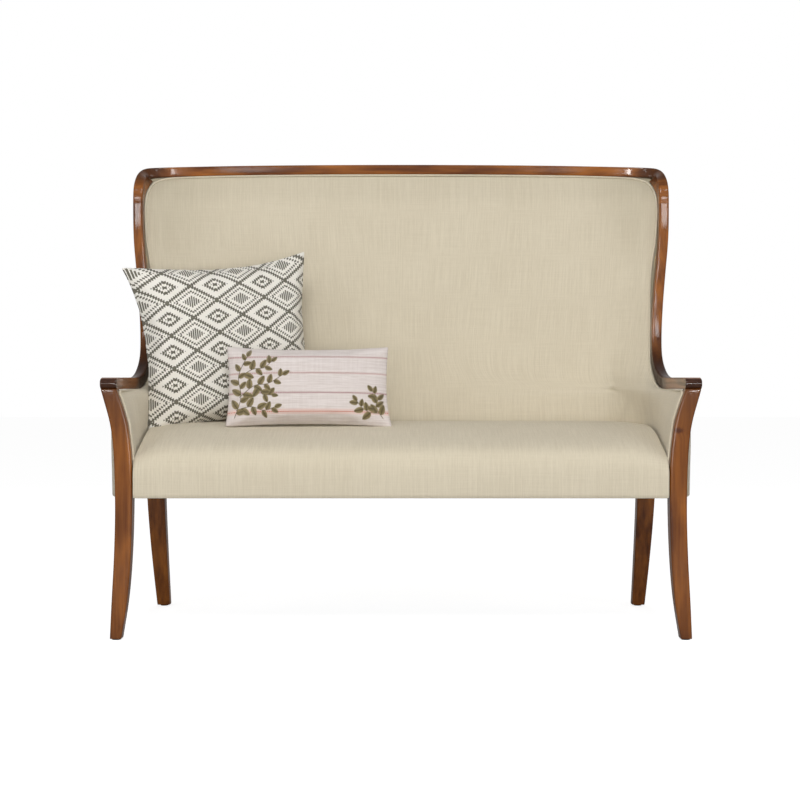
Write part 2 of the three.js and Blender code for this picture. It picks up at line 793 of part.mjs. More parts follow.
// Sinuous seat springs, run from the front rail to the rear rail
function spring(x) {
  const from = (frontRailFront + frontRailBack) / 2;
  const to = (rearRailFront + rearRailBack) / 2;
  const pitch = (to - from) / springBends;
  const points = [new THREE.Vector3(x, from, springHeight)];
  for (let bend = 0; bend < springBends; bend += 1) {
    const side = (bend % 2 ? -1 : 1) * springWidth / 2;
    const middle = from + pitch * (bend + 0.5);
    const reach = pitch * 0.42;
    points.push(new THREE.Vector3(x + side * 0.7, middle - reach, springHeight));
    points.push(new THREE.Vector3(x + side, middle, springHeight));
    points.push(new THREE.Vector3(x + side * 0.7, middle + reach, springHeight));
  }
  points.push(new THREE.Vector3(x, to, springHeight));
  const radius = springWire / 2;
  return loft(points.map((point, at) => {
    const before = points[Math.max(0, at - 1)];
    const after = points[Math.min(points.length - 1, at + 1)];
    const along = after.clone().sub(before).normalize();
    const flat = new THREE.Vector3(-along.y, along.x, 0);
    return [0, 1, 2, 3].map((turn) => {
      const angle = turn * Math.PI / 2;
      return point.clone().addScaledVector(flat, radius * Math.cos(angle))
        .add(new THREE.Vector3(0, 0, radius * Math.sin(angle)));
    });
  }));
}

for (let at = 0; at < springCount; at += 1) {
  const x = (at - (springCount - 1) / 2) * springSpread * 2 / springCount;
  add(`seat_spring_${at + 1}`, spring(x), 'steel');
}

const insulatorX = rearLegInner - softGap * 4;
const insulatorLow = springHeight + springWire / 2 + touchGap;
add('seat_insulator', box(
  -insulatorX,
  insulatorX,
  mix(frontRailFront, frontRailBack, 0.5),
  rearLegFront - softGap,
  insulatorLow,
  insulatorLow + insulatorThickness,
), 'webbing');
add('dust_cover', box(
  -insulatorX,
  insulatorX,
  frontRailFront,
  rearRailBack,
  railBottom - touchGap - dustCoverThickness,
  railBottom - touchGap,
), 'cambric');

// Seat: a crowned section run across the settee, drawn down towards the arms and cut by the pads.
// Shares of the seat's run back and of its rise from the apron to the crown.
const seatSectionShares = [
  [0.012, 0], [0.006, 0.22], [0.004, 0.4], [0.012, 0.53], [0.032, 0.625], [0.065, 0.69], [0.13, 0.76],
  [0.24, 0.835], [0.4, 0.93], [0.58, 0.99], [0.76, 1], [0.9, 0.985], [1, 0.965],
];
const seatDropFront = 26;
const seatDropBack = 4;
const seatDropRun = 90;
const seatAcrossShares = [0, 0.35, 0.6, 0.78, 0.87, 0.93, 0.97, 1];

function seatHalf(depth) {
  if (depth < postBack(apronHeight) + touchGap) return postInnerLow - softGap;
  const faces = steps(4).map((share) => {
    const z = mix(padBottom, seatCrownHeight, share);
    return outerSide(depth, z) - sideReach(depth, z);
  });
  return Math.min(postInnerLow, ...faces) - seatGap;
}

function seatRear(across) {
  let depth = layerDepth('padIn', 0, padBottom);
  for (let pass = 0; pass < 8; pass += 1) depth = layerDepth('padIn', across * seatHalf(depth), padBottom);
  return depth - seatGap;
}

// The outside of the seat's section at one place across, as depth and height.
function seatSection(across) {
  const rear = seatRear(across);
  const rise = seatCrownHeight - apronHeight;
  return seatSectionShares.map(([run, lift]) => {
    const z = apronHeight + lift * rise;
    const depth = run * rear;
    const drop = mix(seatDropFront, seatDropBack, run) * ease((lift - 0.3) / 0.3);
    const edge = ease((Math.abs(across) * seatHalf(depth) - seatHalf(depth) + seatDropRun) / seatDropRun);
    const x = across * seatHalf(depth);
    const lean = layerDepth('padIn', x, Math.max(z, padBottom)) - layerDepth('padIn', x, padBottom);
    return [run > 0.95 ? depth + lean : depth, z - drop * edge * edge];
  });
}

function insetSection(section, by) {
  return section.map(([depth, z], at) => {
    const before = section[Math.max(0, at - 1)];
    const after = section[Math.min(section.length - 1, at + 1)];
    const length = Math.hypot(after[0] - before[0], after[1] - before[1]);
    return [depth + (after[1] - before[1]) / length * by, z - (after[0] - before[0]) / length * by];
  });
}

function seatRings(inner, outer) {
  const across = [...seatAcrossShares.slice(1).reverse().map((share) => -share), ...seatAcrossShares];
  return across.map((share) => {
    const section = seatSection(share);
    return [...outer(section, share), ...inner(section, share).reverse()]
      .map(([depth, z]) => new THREE.Vector3(share * seatHalf(depth), depth, z));
  });
}

add('seat_cover', loft(seatRings(
  (section) => insetSection(section, coverThickness).map(([depth, z]) => [depth, Math.max(z, apronHeight)]),
  (section) => section,
)), 'linen');

const foamInset = coverThickness + softGap * 2;
add('seat_foam', loft(seatRings(
  (section, share) => {
    const rear = seatRear(share) - coverThickness - softGap;
    return steps(section.length - 6).map((run) => [mix(frontRailFront, rear, run), deckHeight]);
  },
  (section) => insetSection(section, foamInset).filter((_, at) => at > 4),
)), 'foam');

// Frame of the back and arms, inside the covers
function bandAcross(from, to, lowAt, highAt, nearSet, farSet) {
  const far = (x, z) => Math.max(backRun(x, z) - farSet, layerDepth('padOut', x, z) + frameClearance);
  const near = (x, z) => Math.min(backRun(x, z) - nearSet, layerDepth('coverIn', x, z) - softGap);
  return loft(steps(16).map((share) => {
    const x = mix(from, to, share);
    const [low, high] = [lowAt(x), highAt(x)];
    return [[far(x, low), low], [near(x, low), low], [near(x, high), high], [far(x, high), high]]
      .map(([depth, z]) => new THREE.Vector3(x, depth, z));
  }));
}

const nearSet = coverInside + touchGap;
const farSet = frameInside;
const lowerBackRailLow = railTop + lowerBackRailLift;
const lowerBackRailHigh = lowerBackRailLow + tackRailHeight;
const lowerRailX = Math.min(
  rearPostRing(lowerBackRailLow)[0], rearPostRing(lowerBackRailHigh)[0],
) - softGap * 2;
const upperRailX = rearPostRing(rearPostTop)[0] - touchGap * 4;
const upperBackRailHigh = (x) => crestUnder(x) - softGap;
const upperBackRailLow = (x) => upperBackRailHigh(x) - tackRailHeight;
add('lower_back_rail', bandAcross(
  -lowerRailX, lowerRailX, () => lowerBackRailLow, () => lowerBackRailHigh, nearSet, farSet,
), 'frame');
add('upper_back_rail', bandAcross(
  -upperRailX, upperRailX, upperBackRailLow, upperBackRailHigh, nearSet, farSet,
), 'frame');

function standing(x, width, nearest, farthest, low, high) {
  const edge = (side) => x + side * width / 2;
  const place = (side, z, set) => new THREE.Vector3(edge(side), backRun(edge(side), z) - set, z);
  return loft([low, high].map((z) => [
    place(-1, z, farthest), place(1, z, farthest), place(1, z, nearest), place(-1, z, nearest),
  ]));
}

const upperRailAtMiddle = upperBackRailLow(centrePostWidth) - touchGap;
add('centre_back_post', standing(
  0, centrePostWidth, nearSet, farSet, lowerBackRailHigh + touchGap, upperRailAtMiddle,
), 'frame');
const webbingPlaces = [-0.62, -0.31, 0.31, 0.62];
webbingPlaces.forEach((share, at) => add(`back_webbing_${at + 1}`, standing(
  share * halfWidth,
  webbingWidth,
  frameInside + touchGap * 2,
  frameInside + touchGap * 2 + webbingThickness,
  lowerBackRailLow,
  upperBackRailHigh(share * halfWidth) - softGap,
), 'webbing'));

function sideBand(z, from, to, count) {
  const near = (depth) => layerAcross('coverIn', depth, z) - softGap;
  const far = (depth) => layerAcross('padOut', depth, z) + frameClearance;
  const depths = steps(count).map((share) => mix(from, to, share));
  return [...depths.map((d) => new THREE.Vector3(near(d), d, z)),
    ...depths.slice().reverse().map((d) => new THREE.Vector3(far(d), d, z))];
}

const armTackLow = ledge - tackRailHeight;
const armTackEnd = rearPostRing(armTackLow)[2] - touchGap * 4;
addPair('arm_tack_rail', loft(steps(3).map((share) => {
  const z = mix(armTackLow, ledge, share);
  return sideBand(z, shellFront(armTackLow) + touchGap * 2, armTackEnd, 14);
})), 'frame');
const wingPostTop = crestUnder(halfWidth) - tackRailHeight * 2;
const wingPostHeights = sideHeights(apronHeight, wingPostTop).filter((z) => z > ledge + touchGap);
addPair('wing_post', loft(wingPostHeights.map((z) => {
  const from = Math.max(shellFront(z) + softGap, wingPostRun);
  return sideBand(z, from, from + wingPostDepth, 3);
})), 'frame');

// Loose cushions: two crowned faces meet in a seam that is drawn in between the corners.
const pillowSteps = 14;

function pillow({ width, height, thickness, taperShare }) {
  const line = steps(pillowSteps).map((share) => Math.sin((share - 0.5) * Math.PI));
  const points = [];
  const index = [];
  [1, -1].forEach((face) => line.forEach((v) => line.forEach((u) => {
    const x = u * (1 - drawnInShare * (1 - v * v) * u * u) * (1 + taperShare * v) * width / 2;
    const y = v * (1 - drawnInShare * (1 - u * u) * v * v) * height / 2;
    const crown = ((1 - u * u) * (1 - v * v)) ** 0.42;
    points.push(new THREE.Vector3(x, face * crown * thickness / 2, y));
  })));
  const row = pillowSteps + 1;
  [0, 1].forEach((face) => {
    for (let down = 0; down < pillowSteps; down += 1) {
      for (let along = 0; along < pillowSteps; along += 1) {
        const a = face * row * row + down * row + along;
        const [b, c, d] = [a + 1, a + row + 1, a + row];
        index.push(...(face ? [a, c, b, a, d, c] : [a, b, c, a, c, d]));
      }
    }
  });
  return mergeVertices(meshGeometry(points, index));
}

// A cushion stands on its lower edge, leans back, turns about the vertical and rolls in its own plane.
function setCushion(name, cushion, finish) {
  const { x, depth, height, standShare, leanTurn, yawTurn, rollTurn } = cushion;
  const turns = new THREE.Euler(-leanTurn * fullTurn, rollTurn * fullTurn, yawTurn * fullTurn, 'ZXY');
  const geometry = pillow(cushion).applyMatrix4(new THREE.Matrix4().makeRotationFromEuler(turns));
  add(name, geometry.translate(x, depth, seatCrownHeight + height * standShare), finish);
}

setCushion('large_cushion', largeCushion, 'printed');
setCushion('small_cushion', smallCushion, 'striped');

export default settee;
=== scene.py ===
import json
import math

import bpy
from mathutils import Matrix, Vector
from mathutils.bvhtree import BVHTree

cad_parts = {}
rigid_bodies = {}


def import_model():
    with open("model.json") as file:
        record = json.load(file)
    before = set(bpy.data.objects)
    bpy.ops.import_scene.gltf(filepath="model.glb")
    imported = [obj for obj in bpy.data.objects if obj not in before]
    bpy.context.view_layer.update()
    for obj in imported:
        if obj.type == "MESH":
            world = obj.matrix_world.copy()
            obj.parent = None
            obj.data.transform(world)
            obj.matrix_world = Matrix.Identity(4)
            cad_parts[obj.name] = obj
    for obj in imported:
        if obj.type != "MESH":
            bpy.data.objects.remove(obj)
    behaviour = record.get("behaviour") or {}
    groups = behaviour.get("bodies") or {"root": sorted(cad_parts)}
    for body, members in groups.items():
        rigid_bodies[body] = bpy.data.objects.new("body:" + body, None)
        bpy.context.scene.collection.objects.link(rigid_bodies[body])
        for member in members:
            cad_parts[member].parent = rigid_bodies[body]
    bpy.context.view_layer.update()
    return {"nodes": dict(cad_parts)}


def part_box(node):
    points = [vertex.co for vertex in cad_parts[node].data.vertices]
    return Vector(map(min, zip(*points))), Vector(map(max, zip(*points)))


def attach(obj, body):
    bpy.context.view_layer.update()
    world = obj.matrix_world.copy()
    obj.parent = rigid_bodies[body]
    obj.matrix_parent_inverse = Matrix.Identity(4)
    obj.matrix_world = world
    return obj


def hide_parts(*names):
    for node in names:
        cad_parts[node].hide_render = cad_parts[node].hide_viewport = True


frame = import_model()
nodes = frame["nodes"]
half_depth = 0.345


# Hand tools
def pick(*pieces):
    for other in bpy.context.scene.objects:
        other.select_set(False)
    for piece in pieces:
        piece.select_set(True)
    bpy.context.view_layer.objects.active = pieces[0]


def in_edit(piece, *steps):
    pick(piece)
    bpy.ops.object.mode_set(mode="EDIT")
    for step in steps:
        step()
    bpy.ops.object.mode_set(mode="OBJECT")


def choose(piece, kind, wanted):
    """Marks the vertices, edges or faces that are wanted, and only those."""
    in_edit(
        piece,
        lambda: bpy.ops.mesh.select_mode(type=kind),
        lambda: bpy.ops.mesh.select_all(action="DESELECT"),
    )
    mesh = piece.data
    parts = {"VERT": mesh.vertices, "EDGE": mesh.edges, "FACE": mesh.polygons}[kind]
    for part in parts:
        part.select = bool(wanted(part))


def select_all():
    bpy.ops.mesh.select_all(action="SELECT")


def finish_with(piece, kind, **settings):
    pick(piece)
    modifier = piece.modifiers.new(kind.title(), kind)
    for name, value in settings.items():
        setattr(modifier, name, value)
    bpy.ops.object.modifier_apply(modifier=modifier.name)


def subdivide(piece, levels):
    finish_with(piece, "SUBSURF", levels=levels, render_levels=levels)


def shade_soft(piece, degrees=None):
    pick(piece)
    if degrees is None:
        bpy.ops.object.shade_smooth()
    else:
        bpy.ops.object.shade_smooth_by_angle(angle=math.radians(degrees))


def copy_of(name, *sources):
    """One piece with the merged meshes of these solids, in quads where they allow it."""
    copies = []
    for source in sources:
        piece = bpy.data.objects.new(name, nodes[source].data.copy())
        bpy.context.scene.collection.objects.link(piece)
        piece.data.materials.clear()
        copies.append(piece)
    pick(*copies)
    if len(copies) > 1:
        bpy.ops.object.join()
    piece = copies[0]
    pick(piece)
    bpy.ops.mesh.customdata_custom_splitnormals_clear()
    while piece.data.uv_layers:
        piece.data.uv_layers.remove(piece.data.uv_layers[0])
    in_edit(
        piece,
        select_all,
        lambda: bpy.ops.mesh.remove_doubles(threshold=0.00002),
        lambda: bpy.ops.mesh.mark_sharp(clear=True),
        lambda: bpy.ops.mesh.tris_convert_to_quads(
            face_threshold=math.radians(50), shape_threshold=math.radians(120),
        ),
        lambda: bpy.ops.mesh.normals_make_consistent(inside=False),
    )
    return piece


def settle(piece, body, slot, *replaced):
    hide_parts(*replaced)
    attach(piece, body)


def mix(a, b, share):
    return a + (b - a) * share


def ease(share):
    share = min(1.0, max(0.0, share))
    return share * share * (3 - 2 * share)


def smooth_line(points, parts=8):
    """A smooth line through the points, with this many parts between two of them."""
    points = [Vector(p) for p in points]
    line = []
    for at in range(len(points) - 1):
        before, start = points[max(at - 1, 0)], points[at]
        end, after = points[at + 1], points[min(at + 2, len(points) - 1)]
        for part in range(parts):
            t = part / parts
            line.append(0.5 * (
                2 * start + (end - before) * t
                + (2 * before - 5 * start + 4 * end - after) * t * t
                + (3 * start - before - 3 * end + after) * t ** 3
            ))
    return line + [points[-1]]


def running_lengths(line):
    lengths = [0.0]
    for a, b in zip(line, line[1:]):
        lengths.append(lengths[-1] + (b - a).length)
    return lengths


def read_rows(rows, at):
    """Reads a list of (place, value) rows at any place between them."""
    for (p, a), (q, b) in zip(rows, rows[1:]):
        if at <= q:
            return mix(a, b, max(0.0, at - p) / max(q - p, 1e-9))
    return rows[-1][1]


# Show wood
wood_parts = ["crest_rail"] + [
    f"{part}_{side}"
    for part in ("wing_rail", "arm_rail", "front_leg", "rear_leg")
    for side in ("right", "left")
]
joint_reach = 0.0008
eased_edge = 0.0011
arm_nose = 0.013


def surface_of(*sources):
    """The solids' surfaces together, to find what lies near them."""
    points, faces = [], []
    for source in sources:
        mesh = nodes[source].data
        start = len(points)
        points += [v.co.copy() for v in mesh.vertices]
        faces += [[start + i for i in face.vertices] for face in mesh.polygons]
    return BVHTree.FromPolygons(points, faces)


def sharp_edges(piece, degrees):
    """The edges where two faces meet at more than this angle, by their numbers."""
    in_edit(
        piece,
        lambda: bpy.ops.mesh.select_mode(type="EDGE"),
        lambda: bpy.ops.mesh.select_all(action="DESELECT"),
        lambda: bpy.ops.mesh.edges_select_sharp(sharpness=math.radians(degrees)),
    )
    return {e.index for e in piece.data.edges if e.select}


def hold_edges(piece, degrees, firmness, wanted=lambda edge: True):
    """Keeps the sharp edges where they are when the piece is made smooth."""
    sharp = sharp_edges(piece, degrees)
    choose(piece, "EDGE", lambda e: e.index in sharp and wanted(e))
    in_edit(piece, lambda: bpy.ops.transform.edge_crease(value=firmness))


def polished(source):
    """A length of show wood with eased edges; what meets the next length stays sharp and tight."""
    piece = copy_of(f"polished_{source}", source)
    others = surface_of(*[other for other in wood_parts if other != source])

    def at_joint(vertex):
        return others.find_nearest(vertex.co, joint_reach)[0] is not None

    if source.startswith("arm_rail"):
        front = min(v.co.y for v in piece.data.vertices)
        at_end = {v.index for v in piece.data.vertices if v.co.y < front + 0.001}

        def across_end(e):
            a, b = (piece.data.vertices[i].co for i in e.vertices)
            return at_end.issuperset(e.vertices) and abs(a.x - b.x) > 3 * abs(a.z - b.z)

        choose(piece, "EDGE", across_end)
        in_edit(piece, lambda: bpy.ops.mesh.bevel(offset=arm_nose, segments=6, clamp_overlap=True))
    joint = {v.index for v in piece.data.vertices if at_joint(v)}
    sharp = sharp_edges(piece, 30)
    choose(piece, "EDGE", lambda e: e.index in sharp and not joint.issuperset(e.vertices))
    in_edit(piece, lambda: bpy.ops.mesh.bevel(offset=eased_edge, segments=2, clamp_overlap=True))
    joint = {v.index for v in piece.data.vertices if at_joint(v)}
    choose(piece, "EDGE", lambda e: joint.issuperset(e.vertices))
    in_edit(piece, lambda: bpy.ops.transform.edge_crease(value=1))
    if source.startswith("front_leg"):
        top = max(v.co.z for v in piece.data.vertices)
        for vertex in piece.data.vertices:
            if vertex.co.z > top - joint_reach:
                vertex.co.z += joint_reach
    subdivide(piece, 2)
    shade_soft(piece, 42)
    settle(piece, "settee", "show_wood", source)
    return piece


show_wood = {source: polished(source) for source in wood_parts}

# The welt and the inside cover
# The right half of the seam between the cover and the show wood, from the middle of the crest
# round the corner, down the wing, along the arm and down the post. Under the crest's straight it
# follows the rail's own front edge. The other points are a list: on the wing and round the corner
# from pixels read in the photo, and down the post from readings of the front leg's solid.
crest_seam_points = 7
crest_seam_step = 0.0933
crest_face_z = 1.25
seam_back = 0.004
seam_below = 0.0026


def crest_seam():
    """The seam's points under the crest's straight, a little back from the rail's edge and below it."""
    rail = surface_of("crest_rail")
    points = []
    for at in range(crest_seam_points):
        x = at * crest_seam_step
        y = rail.ray_cast(Vector((x, -1, crest_face_z)), Vector((0, 1, 0)))[0].y + seam_back
        under = rail.ray_cast(Vector((x, y, 1)), Vector((0, 0, 1)))[0].z
        points.append((x, y, under - seam_below))
    return points


seam_points = crest_seam() + [
    (0.6300, 0.2690, 1.2284), (0.6640, 0.2630, 1.2252), (0.6900, 0.2540, 1.2180),
    (0.7070, 0.2420, 1.2076), (0.7170, 0.2270, 1.1900), (0.7230, 0.2150, 1.1670),
    (0.7248, 0.2070, 1.1366), (0.7240, 0.2030, 1.1050), (0.7218, 0.1998, 1.0742),
    (0.7186, 0.1955, 1.0427), (0.7138, 0.1905, 1.0119), (0.7078, 0.1840, 0.9814),
    (0.7020, 0.1740, 0.9421), (0.6976, 0.1610, 0.8934), (0.6958, 0.1480, 0.8479),
    (0.6938, 0.1350, 0.8026), (0.6910, 0.1210, 0.7576), (0.6882, 0.1030, 0.7129),
    (0.6870, 0.0790, 0.6767), (0.6892, 0.0470, 0.6491), (0.6928, 0.0120, 0.6310),
    (0.6960, -0.0280, 0.6222), (0.6988, -0.0650, 0.6200), (0.7014, -0.1100, 0.6198),
    (0.7030, -0.1600, 0.6198), (0.7036, -0.2100, 0.6198), (0.7036, -0.2600, 0.6198),
    (0.7036, -0.3020, 0.6197), (0.7016, -0.3180, 0.6140), (0.6961, -0.3190, 0.6000),
    (0.6893, -0.3190, 0.5800), (0.6832, -0.3190, 0.5600), (0.6778, -0.3190, 0.5400),
    (0.6749, -0.3190, 0.5200), (0.6722, -0.3190, 0.5000), (0.6699, -0.3190, 0.4800),
    (0.6680, -0.3190, 0.4600), (0.6662, -0.3190, 0.4400), (0.6652, -0.3190, 0.4285),
]
seam_parts = 8
seam = smooth_line(seam_points, seam_parts)
seam_lengths = running_lengths(seam)
corner_at = 10 * seam_parts
lip_from, lip_to = 5 * seam_parts, 27 * seam_parts
post_from = 35 * seam_parts
post_shift = Vector((0.0012, 0, 0))
seat_room = 0.4285


def seam_place(length):
    """The seam's point this far along it from the middle of the crest."""
    for at in range(len(seam) - 1):
        if seam_lengths[at + 1] >= length:
            share = (length - seam_lengths[at]) / max(seam_lengths[at + 1] - seam_lengths[at], 1e-9)
            return seam[at].lerp(seam[at + 1], max(0.0, share))
    return seam[-1].copy()


spine_y = -0.12
columns, rows = 168, 88
edge_pull = 2.2
crest_reach = 0.22
welt_radius = 0.003
cover_thickness = 0.003


def angle_of(point):
    return math.atan2(point.x, point.y - spine_y)


def steady(values, turns):
    """Evens a run of values out and keeps its two ends."""
    for _ in range(turns):
        middle = [(a + 2 * b + c) / 4 for a, b, c in zip(values, values[1:], values[2:])]
        values = [values[0]] + middle + [values[-1]]
    return values


def fold_plump(point):
    """How far the stuffing swells on both sides of the fold between the back and an arm."""
    fold_x = read_rows([(0.42, 0.59), (0.535, 0.615), (0.64, 0.672), (0.75, 0.69)], point.z)
    fold_y = read_rows([(0.42, 0.148), (0.54, 0.14), (0.58, 0.128), (0.62, 0.108), (0.75, 0.11)], point.z)
    away = math.hypot(abs(point.x) - fold_x, point.y - fold_y)
    swell = (1 - math.exp(-(away / 0.02) ** 2)) * math.exp(-(away / 0.085) ** 2)
    return 0.013 * swell * ease((0.72 - point.z) / 0.14)


def behind_welt(point):
    """A seam point set back behind the welt, away from the sitter."""
    out = Vector((point.x, point.y - spine_y, 0)).normalized()
    return point + out * welt_radius


def cover_places():
    """The cover's points, row by row from the crest to the seat, and how far across each lies."""
    pads = surface_of("side_pad_right", "side_pad_left", "inside_back_pad")
    corner_length, end_length = seam_lengths[corner_at], seam_lengths[-1]
    crest = [(angle_of(p), p) for p in seam[:corner_at + 1]]
    corner_angle = angle_of(seam[corner_at])
    half = columns // 2
    table = []
    for row in range(rows + 1):
        down = row / rows
        length = mix(corner_length, end_length, down)
        border = behind_welt(seam_place(length))
        middle_z = mix(seam[0].z, seat_room, down)
        line = []
        for column in range(half + 1):
            share = column / half
            angle = share * angle_of(border)
            out = 1 - (1 - share) ** edge_pull
            top = behind_welt(read_rows(crest, share * corner_angle))
            z = mix(middle_z, border.z, out)
            z += (top.z - mix(seam[0].z, seam[corner_at].z, out)) * max(0.0, 1 - down / crest_reach) ** 2
            heading = Vector((math.sin(angle), math.cos(angle), 0))
            start = Vector((0, spine_y, z))
            hit = pads.ray_cast(start, heading)[0]
            target = hit if hit else border
            if row == 0:
                target = top
            if column == half:
                target = border
            line.append([angle, z, math.hypot(target.x, target.y - spine_y)])
        table.append(line)
    for column in range(half):
        reaches = steady([line[column][2] for line in table], 10)
        for line, reach in zip(table, reaches):
            line[column][2] = reach
    places = []
    for line in table:
        right = []
        for angle, z, reach in line:
            point = Vector((math.sin(angle) * reach, spine_y + math.cos(angle) * reach, z))
            right.append(point)
        places.append([Vector((-p.x, p.y, p.z)) for p in reversed(right[1:])] + right)
    return places


front_leg = surface_of("front_leg_right")
leg_middle_y = -0.32
leg_low, leg_high = 0.42, 0.62
# Where the cover is evened out near the arm's height: beyond this x, between these heights, in so many turns.
evened = ((0.65, 0.59, 0.665, 240), (0.63, 0.55, 0.7, 100), (0.6, 0.48, 0.75, 40))


def leg_inside(z):
    """How far out the inner face of a front leg is at this height."""
    start = Vector((0, leg_middle_y, min(max(z, leg_low), leg_high)))
    return front_leg.ray_cast(start, Vector((1, 0, 0)))[0].x


def inside_cover():
    """One continuous cover over the inside back, wings and arms, drawn to the seam."""
    places = cover_places()
    bpy.ops.mesh.primitive_grid_add(x_subdivisions=columns, y_subdivisions=rows, size=1)
    piece = bpy.context.object
    piece.name = "inside_cover"
    mesh = piece.data
    wide = columns + 1

    def place_of(index):
        return rows - index // wide, index % wide

    def inner(vertex):
        row, column = place_of(vertex.index)
        return 0 < row < rows and 0 < column < columns

    for vertex in mesh.vertices:
        row, column = place_of(vertex.index)
        vertex.co = places[row][column]
    choose(piece, "VERT", inner)
    in_edit(piece, lambda: bpy.ops.mesh.vertices_smooth(factor=0.5, repeat=8))
    for inside, low, high, turns in evened:
        choose(piece, "VERT", lambda v: inner(v) and abs(v.co.x) > inside and low < v.co.z < high)
        in_edit(piece, lambda: bpy.ops.mesh.vertices_smooth(factor=0.5, repeat=turns))
    for vertex in mesh.vertices:
        if inner(vertex):
            heading = Vector((vertex.co.x, vertex.co.y - spine_y, 0)).normalized()
            vertex.co -= heading * fold_plump(vertex.co)
            limit = leg_inside(vertex.co.z) - welt_radius
            if abs(vertex.co.x) > limit:
                limit = mix(abs(vertex.co.x), limit, ease((-0.24 - vertex.co.y) / 0.04))
                vertex.co.x = math.copysign(limit, vertex.co.x)
    across = []
    for row in range(rows + 1):
        start = (rows - row) * wide
        line = [mesh.vertices[start + column].co for column in range(wide)]
        lengths = running_lengths(line)
        across.append([length - lengths[columns // 2] for length in lengths])
    cloth = mesh.uv_layers[0].data
    for loop in mesh.loops:
        row, column = place_of(loop.vertex_index)
        cloth[loop.index].uv = (across[row][column], mesh.vertices[loop.vertex_index].co.z)
    in_edit(piece, select_all, lambda: bpy.ops.mesh.normals_make_consistent(inside=False))
    if mesh.polygons[len(mesh.polygons) // 2 + columns // 2].normal.y > 0:
        in_edit(piece, select_all, lambda: bpy.ops.mesh.flip_normals())
    finish_with(piece, "SOLIDIFY", thickness=cover_thickness, offset=-1)
    subdivide(piece, 1)
    shade_soft(piece)
    settle(piece, "settee", "linen", "side_pad_right", "side_pad_left", "inside_back_pad")
    return piece


cover = inside_cover()


def drawn_line(name, line, radius, sides=12):
    """A round cord along a line."""
    data = bpy.data.curves.new(name, "CURVE")
    data.dimensions = "3D"
    spline = data.splines.new("POLY")
    spline.points.add(len(line) - 1)
    for point, place in zip(spline.points, line):
        point.co = (*place, 1)
    data.bevel_depth = radius
    data.bevel_resolution = (sides - 4) // 2
    data.use_fill_caps = True
    piece = bpy.data.objects.new(name, data)
    bpy.context.scene.collection.objects.link(piece)
    pick(piece)
    bpy.ops.object.convert(target="MESH")
    piece = bpy.context.object
    in_edit(piece, select_all, lambda: bpy.ops.mesh.remove_doubles(threshold=0.00001))
    shade_soft(piece)
    return piece


def mirrored(point):
    return Vector((-point.x, point.y, point.z))


for at in range(post_from, len(seam)):
    seam[at] = seam[at] + post_shift
welt_line = [mirrored(p) for p in reversed(seam[1:])] + seam
welt = drawn_line("welt", welt_line, welt_radius)
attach(welt, "settee")


def rail_lip(side):
    """A strip of linen behind the welt along a wing, which closes the gap to the show wood."""
    line = seam[lip_from:lip_to:2]
    tuck, back = 0.016, 0.004
    bpy.ops.mesh.primitive_grid_add(x_subdivisions=len(line) - 3, y_subdivisions=1, size=1)
    piece = bpy.context.object
    piece.name = f"rail_lip_{side}"
    for at, point in enumerate(line[1:-1]):
        way = (line[at + 2] - line[at]).normalized()
        outward = Vector((-way.z, 0, way.x)).normalized()
        near = point + Vector((0, 0.0015, 0))
        far = point + outward * tuck + Vector((0, back, 0))
        piece.data.vertices[at].co = near if side == "right" else mirrored(near)
        piece.data.vertices[len(line) - 2 + at].co = far if side == "right" else mirrored(far)
    finish_with(piece, "SOLIDIFY", thickness=0.0012, offset=0)
    subdivide(piece, 1)
    shade_soft(piece, 50)
    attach(piece, "settee")
    return piece


lips = {side: rail_lip(side) for side in ("right", "left")}


# Seat, outside covers and dust cover
def seat_top():
    """The seat's crowned cover."""
    piece = copy_of("seat_top", "seat_cover")
    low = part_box("seat_cover")[0][2] + 0.001
    hold_edges(piece, 50, 0.85, lambda e: all(piece.data.vertices[i].co.z < low for i in e.vertices))
    subdivide(piece, 2)
    shade_soft(piece)
    settle(piece, "settee", "linen", "seat_cover")
    return piece


seat = seat_top()
# Where the outside covers' panels meet, and how near to it a point belongs to the meeting.
split_x = 0.52095
near_split = 0.0005


def tucked(piece, wanted, *sources):
    """Carries a rim of a cover on until it meets these solids."""
    near = surface_of(*sources)
    choose(piece, "FACE", wanted)
    in_edit(piece, lambda: bpy.ops.mesh.extrude_region_move())
    for vertex in piece.data.vertices:
        if vertex.select:
            vertex.co = near.find_nearest(vertex.co)[0]


def outside_cover():
    """The outside arms and back as one taut cover, joined where its panels are sewn."""
    covers = ("outside_arm_cover_right", "outside_back_cover", "outside_arm_cover_left")
    piece = copy_of("outside_cover", *covers)
    at_split = {v.index for v in piece.data.vertices if abs(abs(v.co.x) - split_x) < near_split}
    choose(piece, "FACE", lambda f: at_split.issuperset(f.vertices))
    in_edit(piece, lambda: bpy.ops.mesh.delete(type="FACE"))
    choose(piece, "VERT", lambda v: abs(abs(v.co.x) - split_x) < near_split)
    in_edit(
        piece,
        lambda: bpy.ops.mesh.remove_doubles(threshold=0.0008),
        select_all,
        lambda: bpy.ops.mesh.normals_make_consistent(inside=False),
    )
    rails = ("crest_rail", "wing_rail_right", "wing_rail_left")
    tucked(piece, lambda f: f.normal.z > 0.5 and f.center.z > 1.1, *rails)
    tucked(piece, lambda f: f.normal.y < -0.5 and f.center.y < -0.27, "front_leg_right", "front_leg_left")
    hold_edges(piece, 50, 0.9)
    subdivide(piece, 2)
    shade_soft(piece, 60)
    settle(piece, "settee", "linen", *covers)
    return piece


outside = outside_cover()


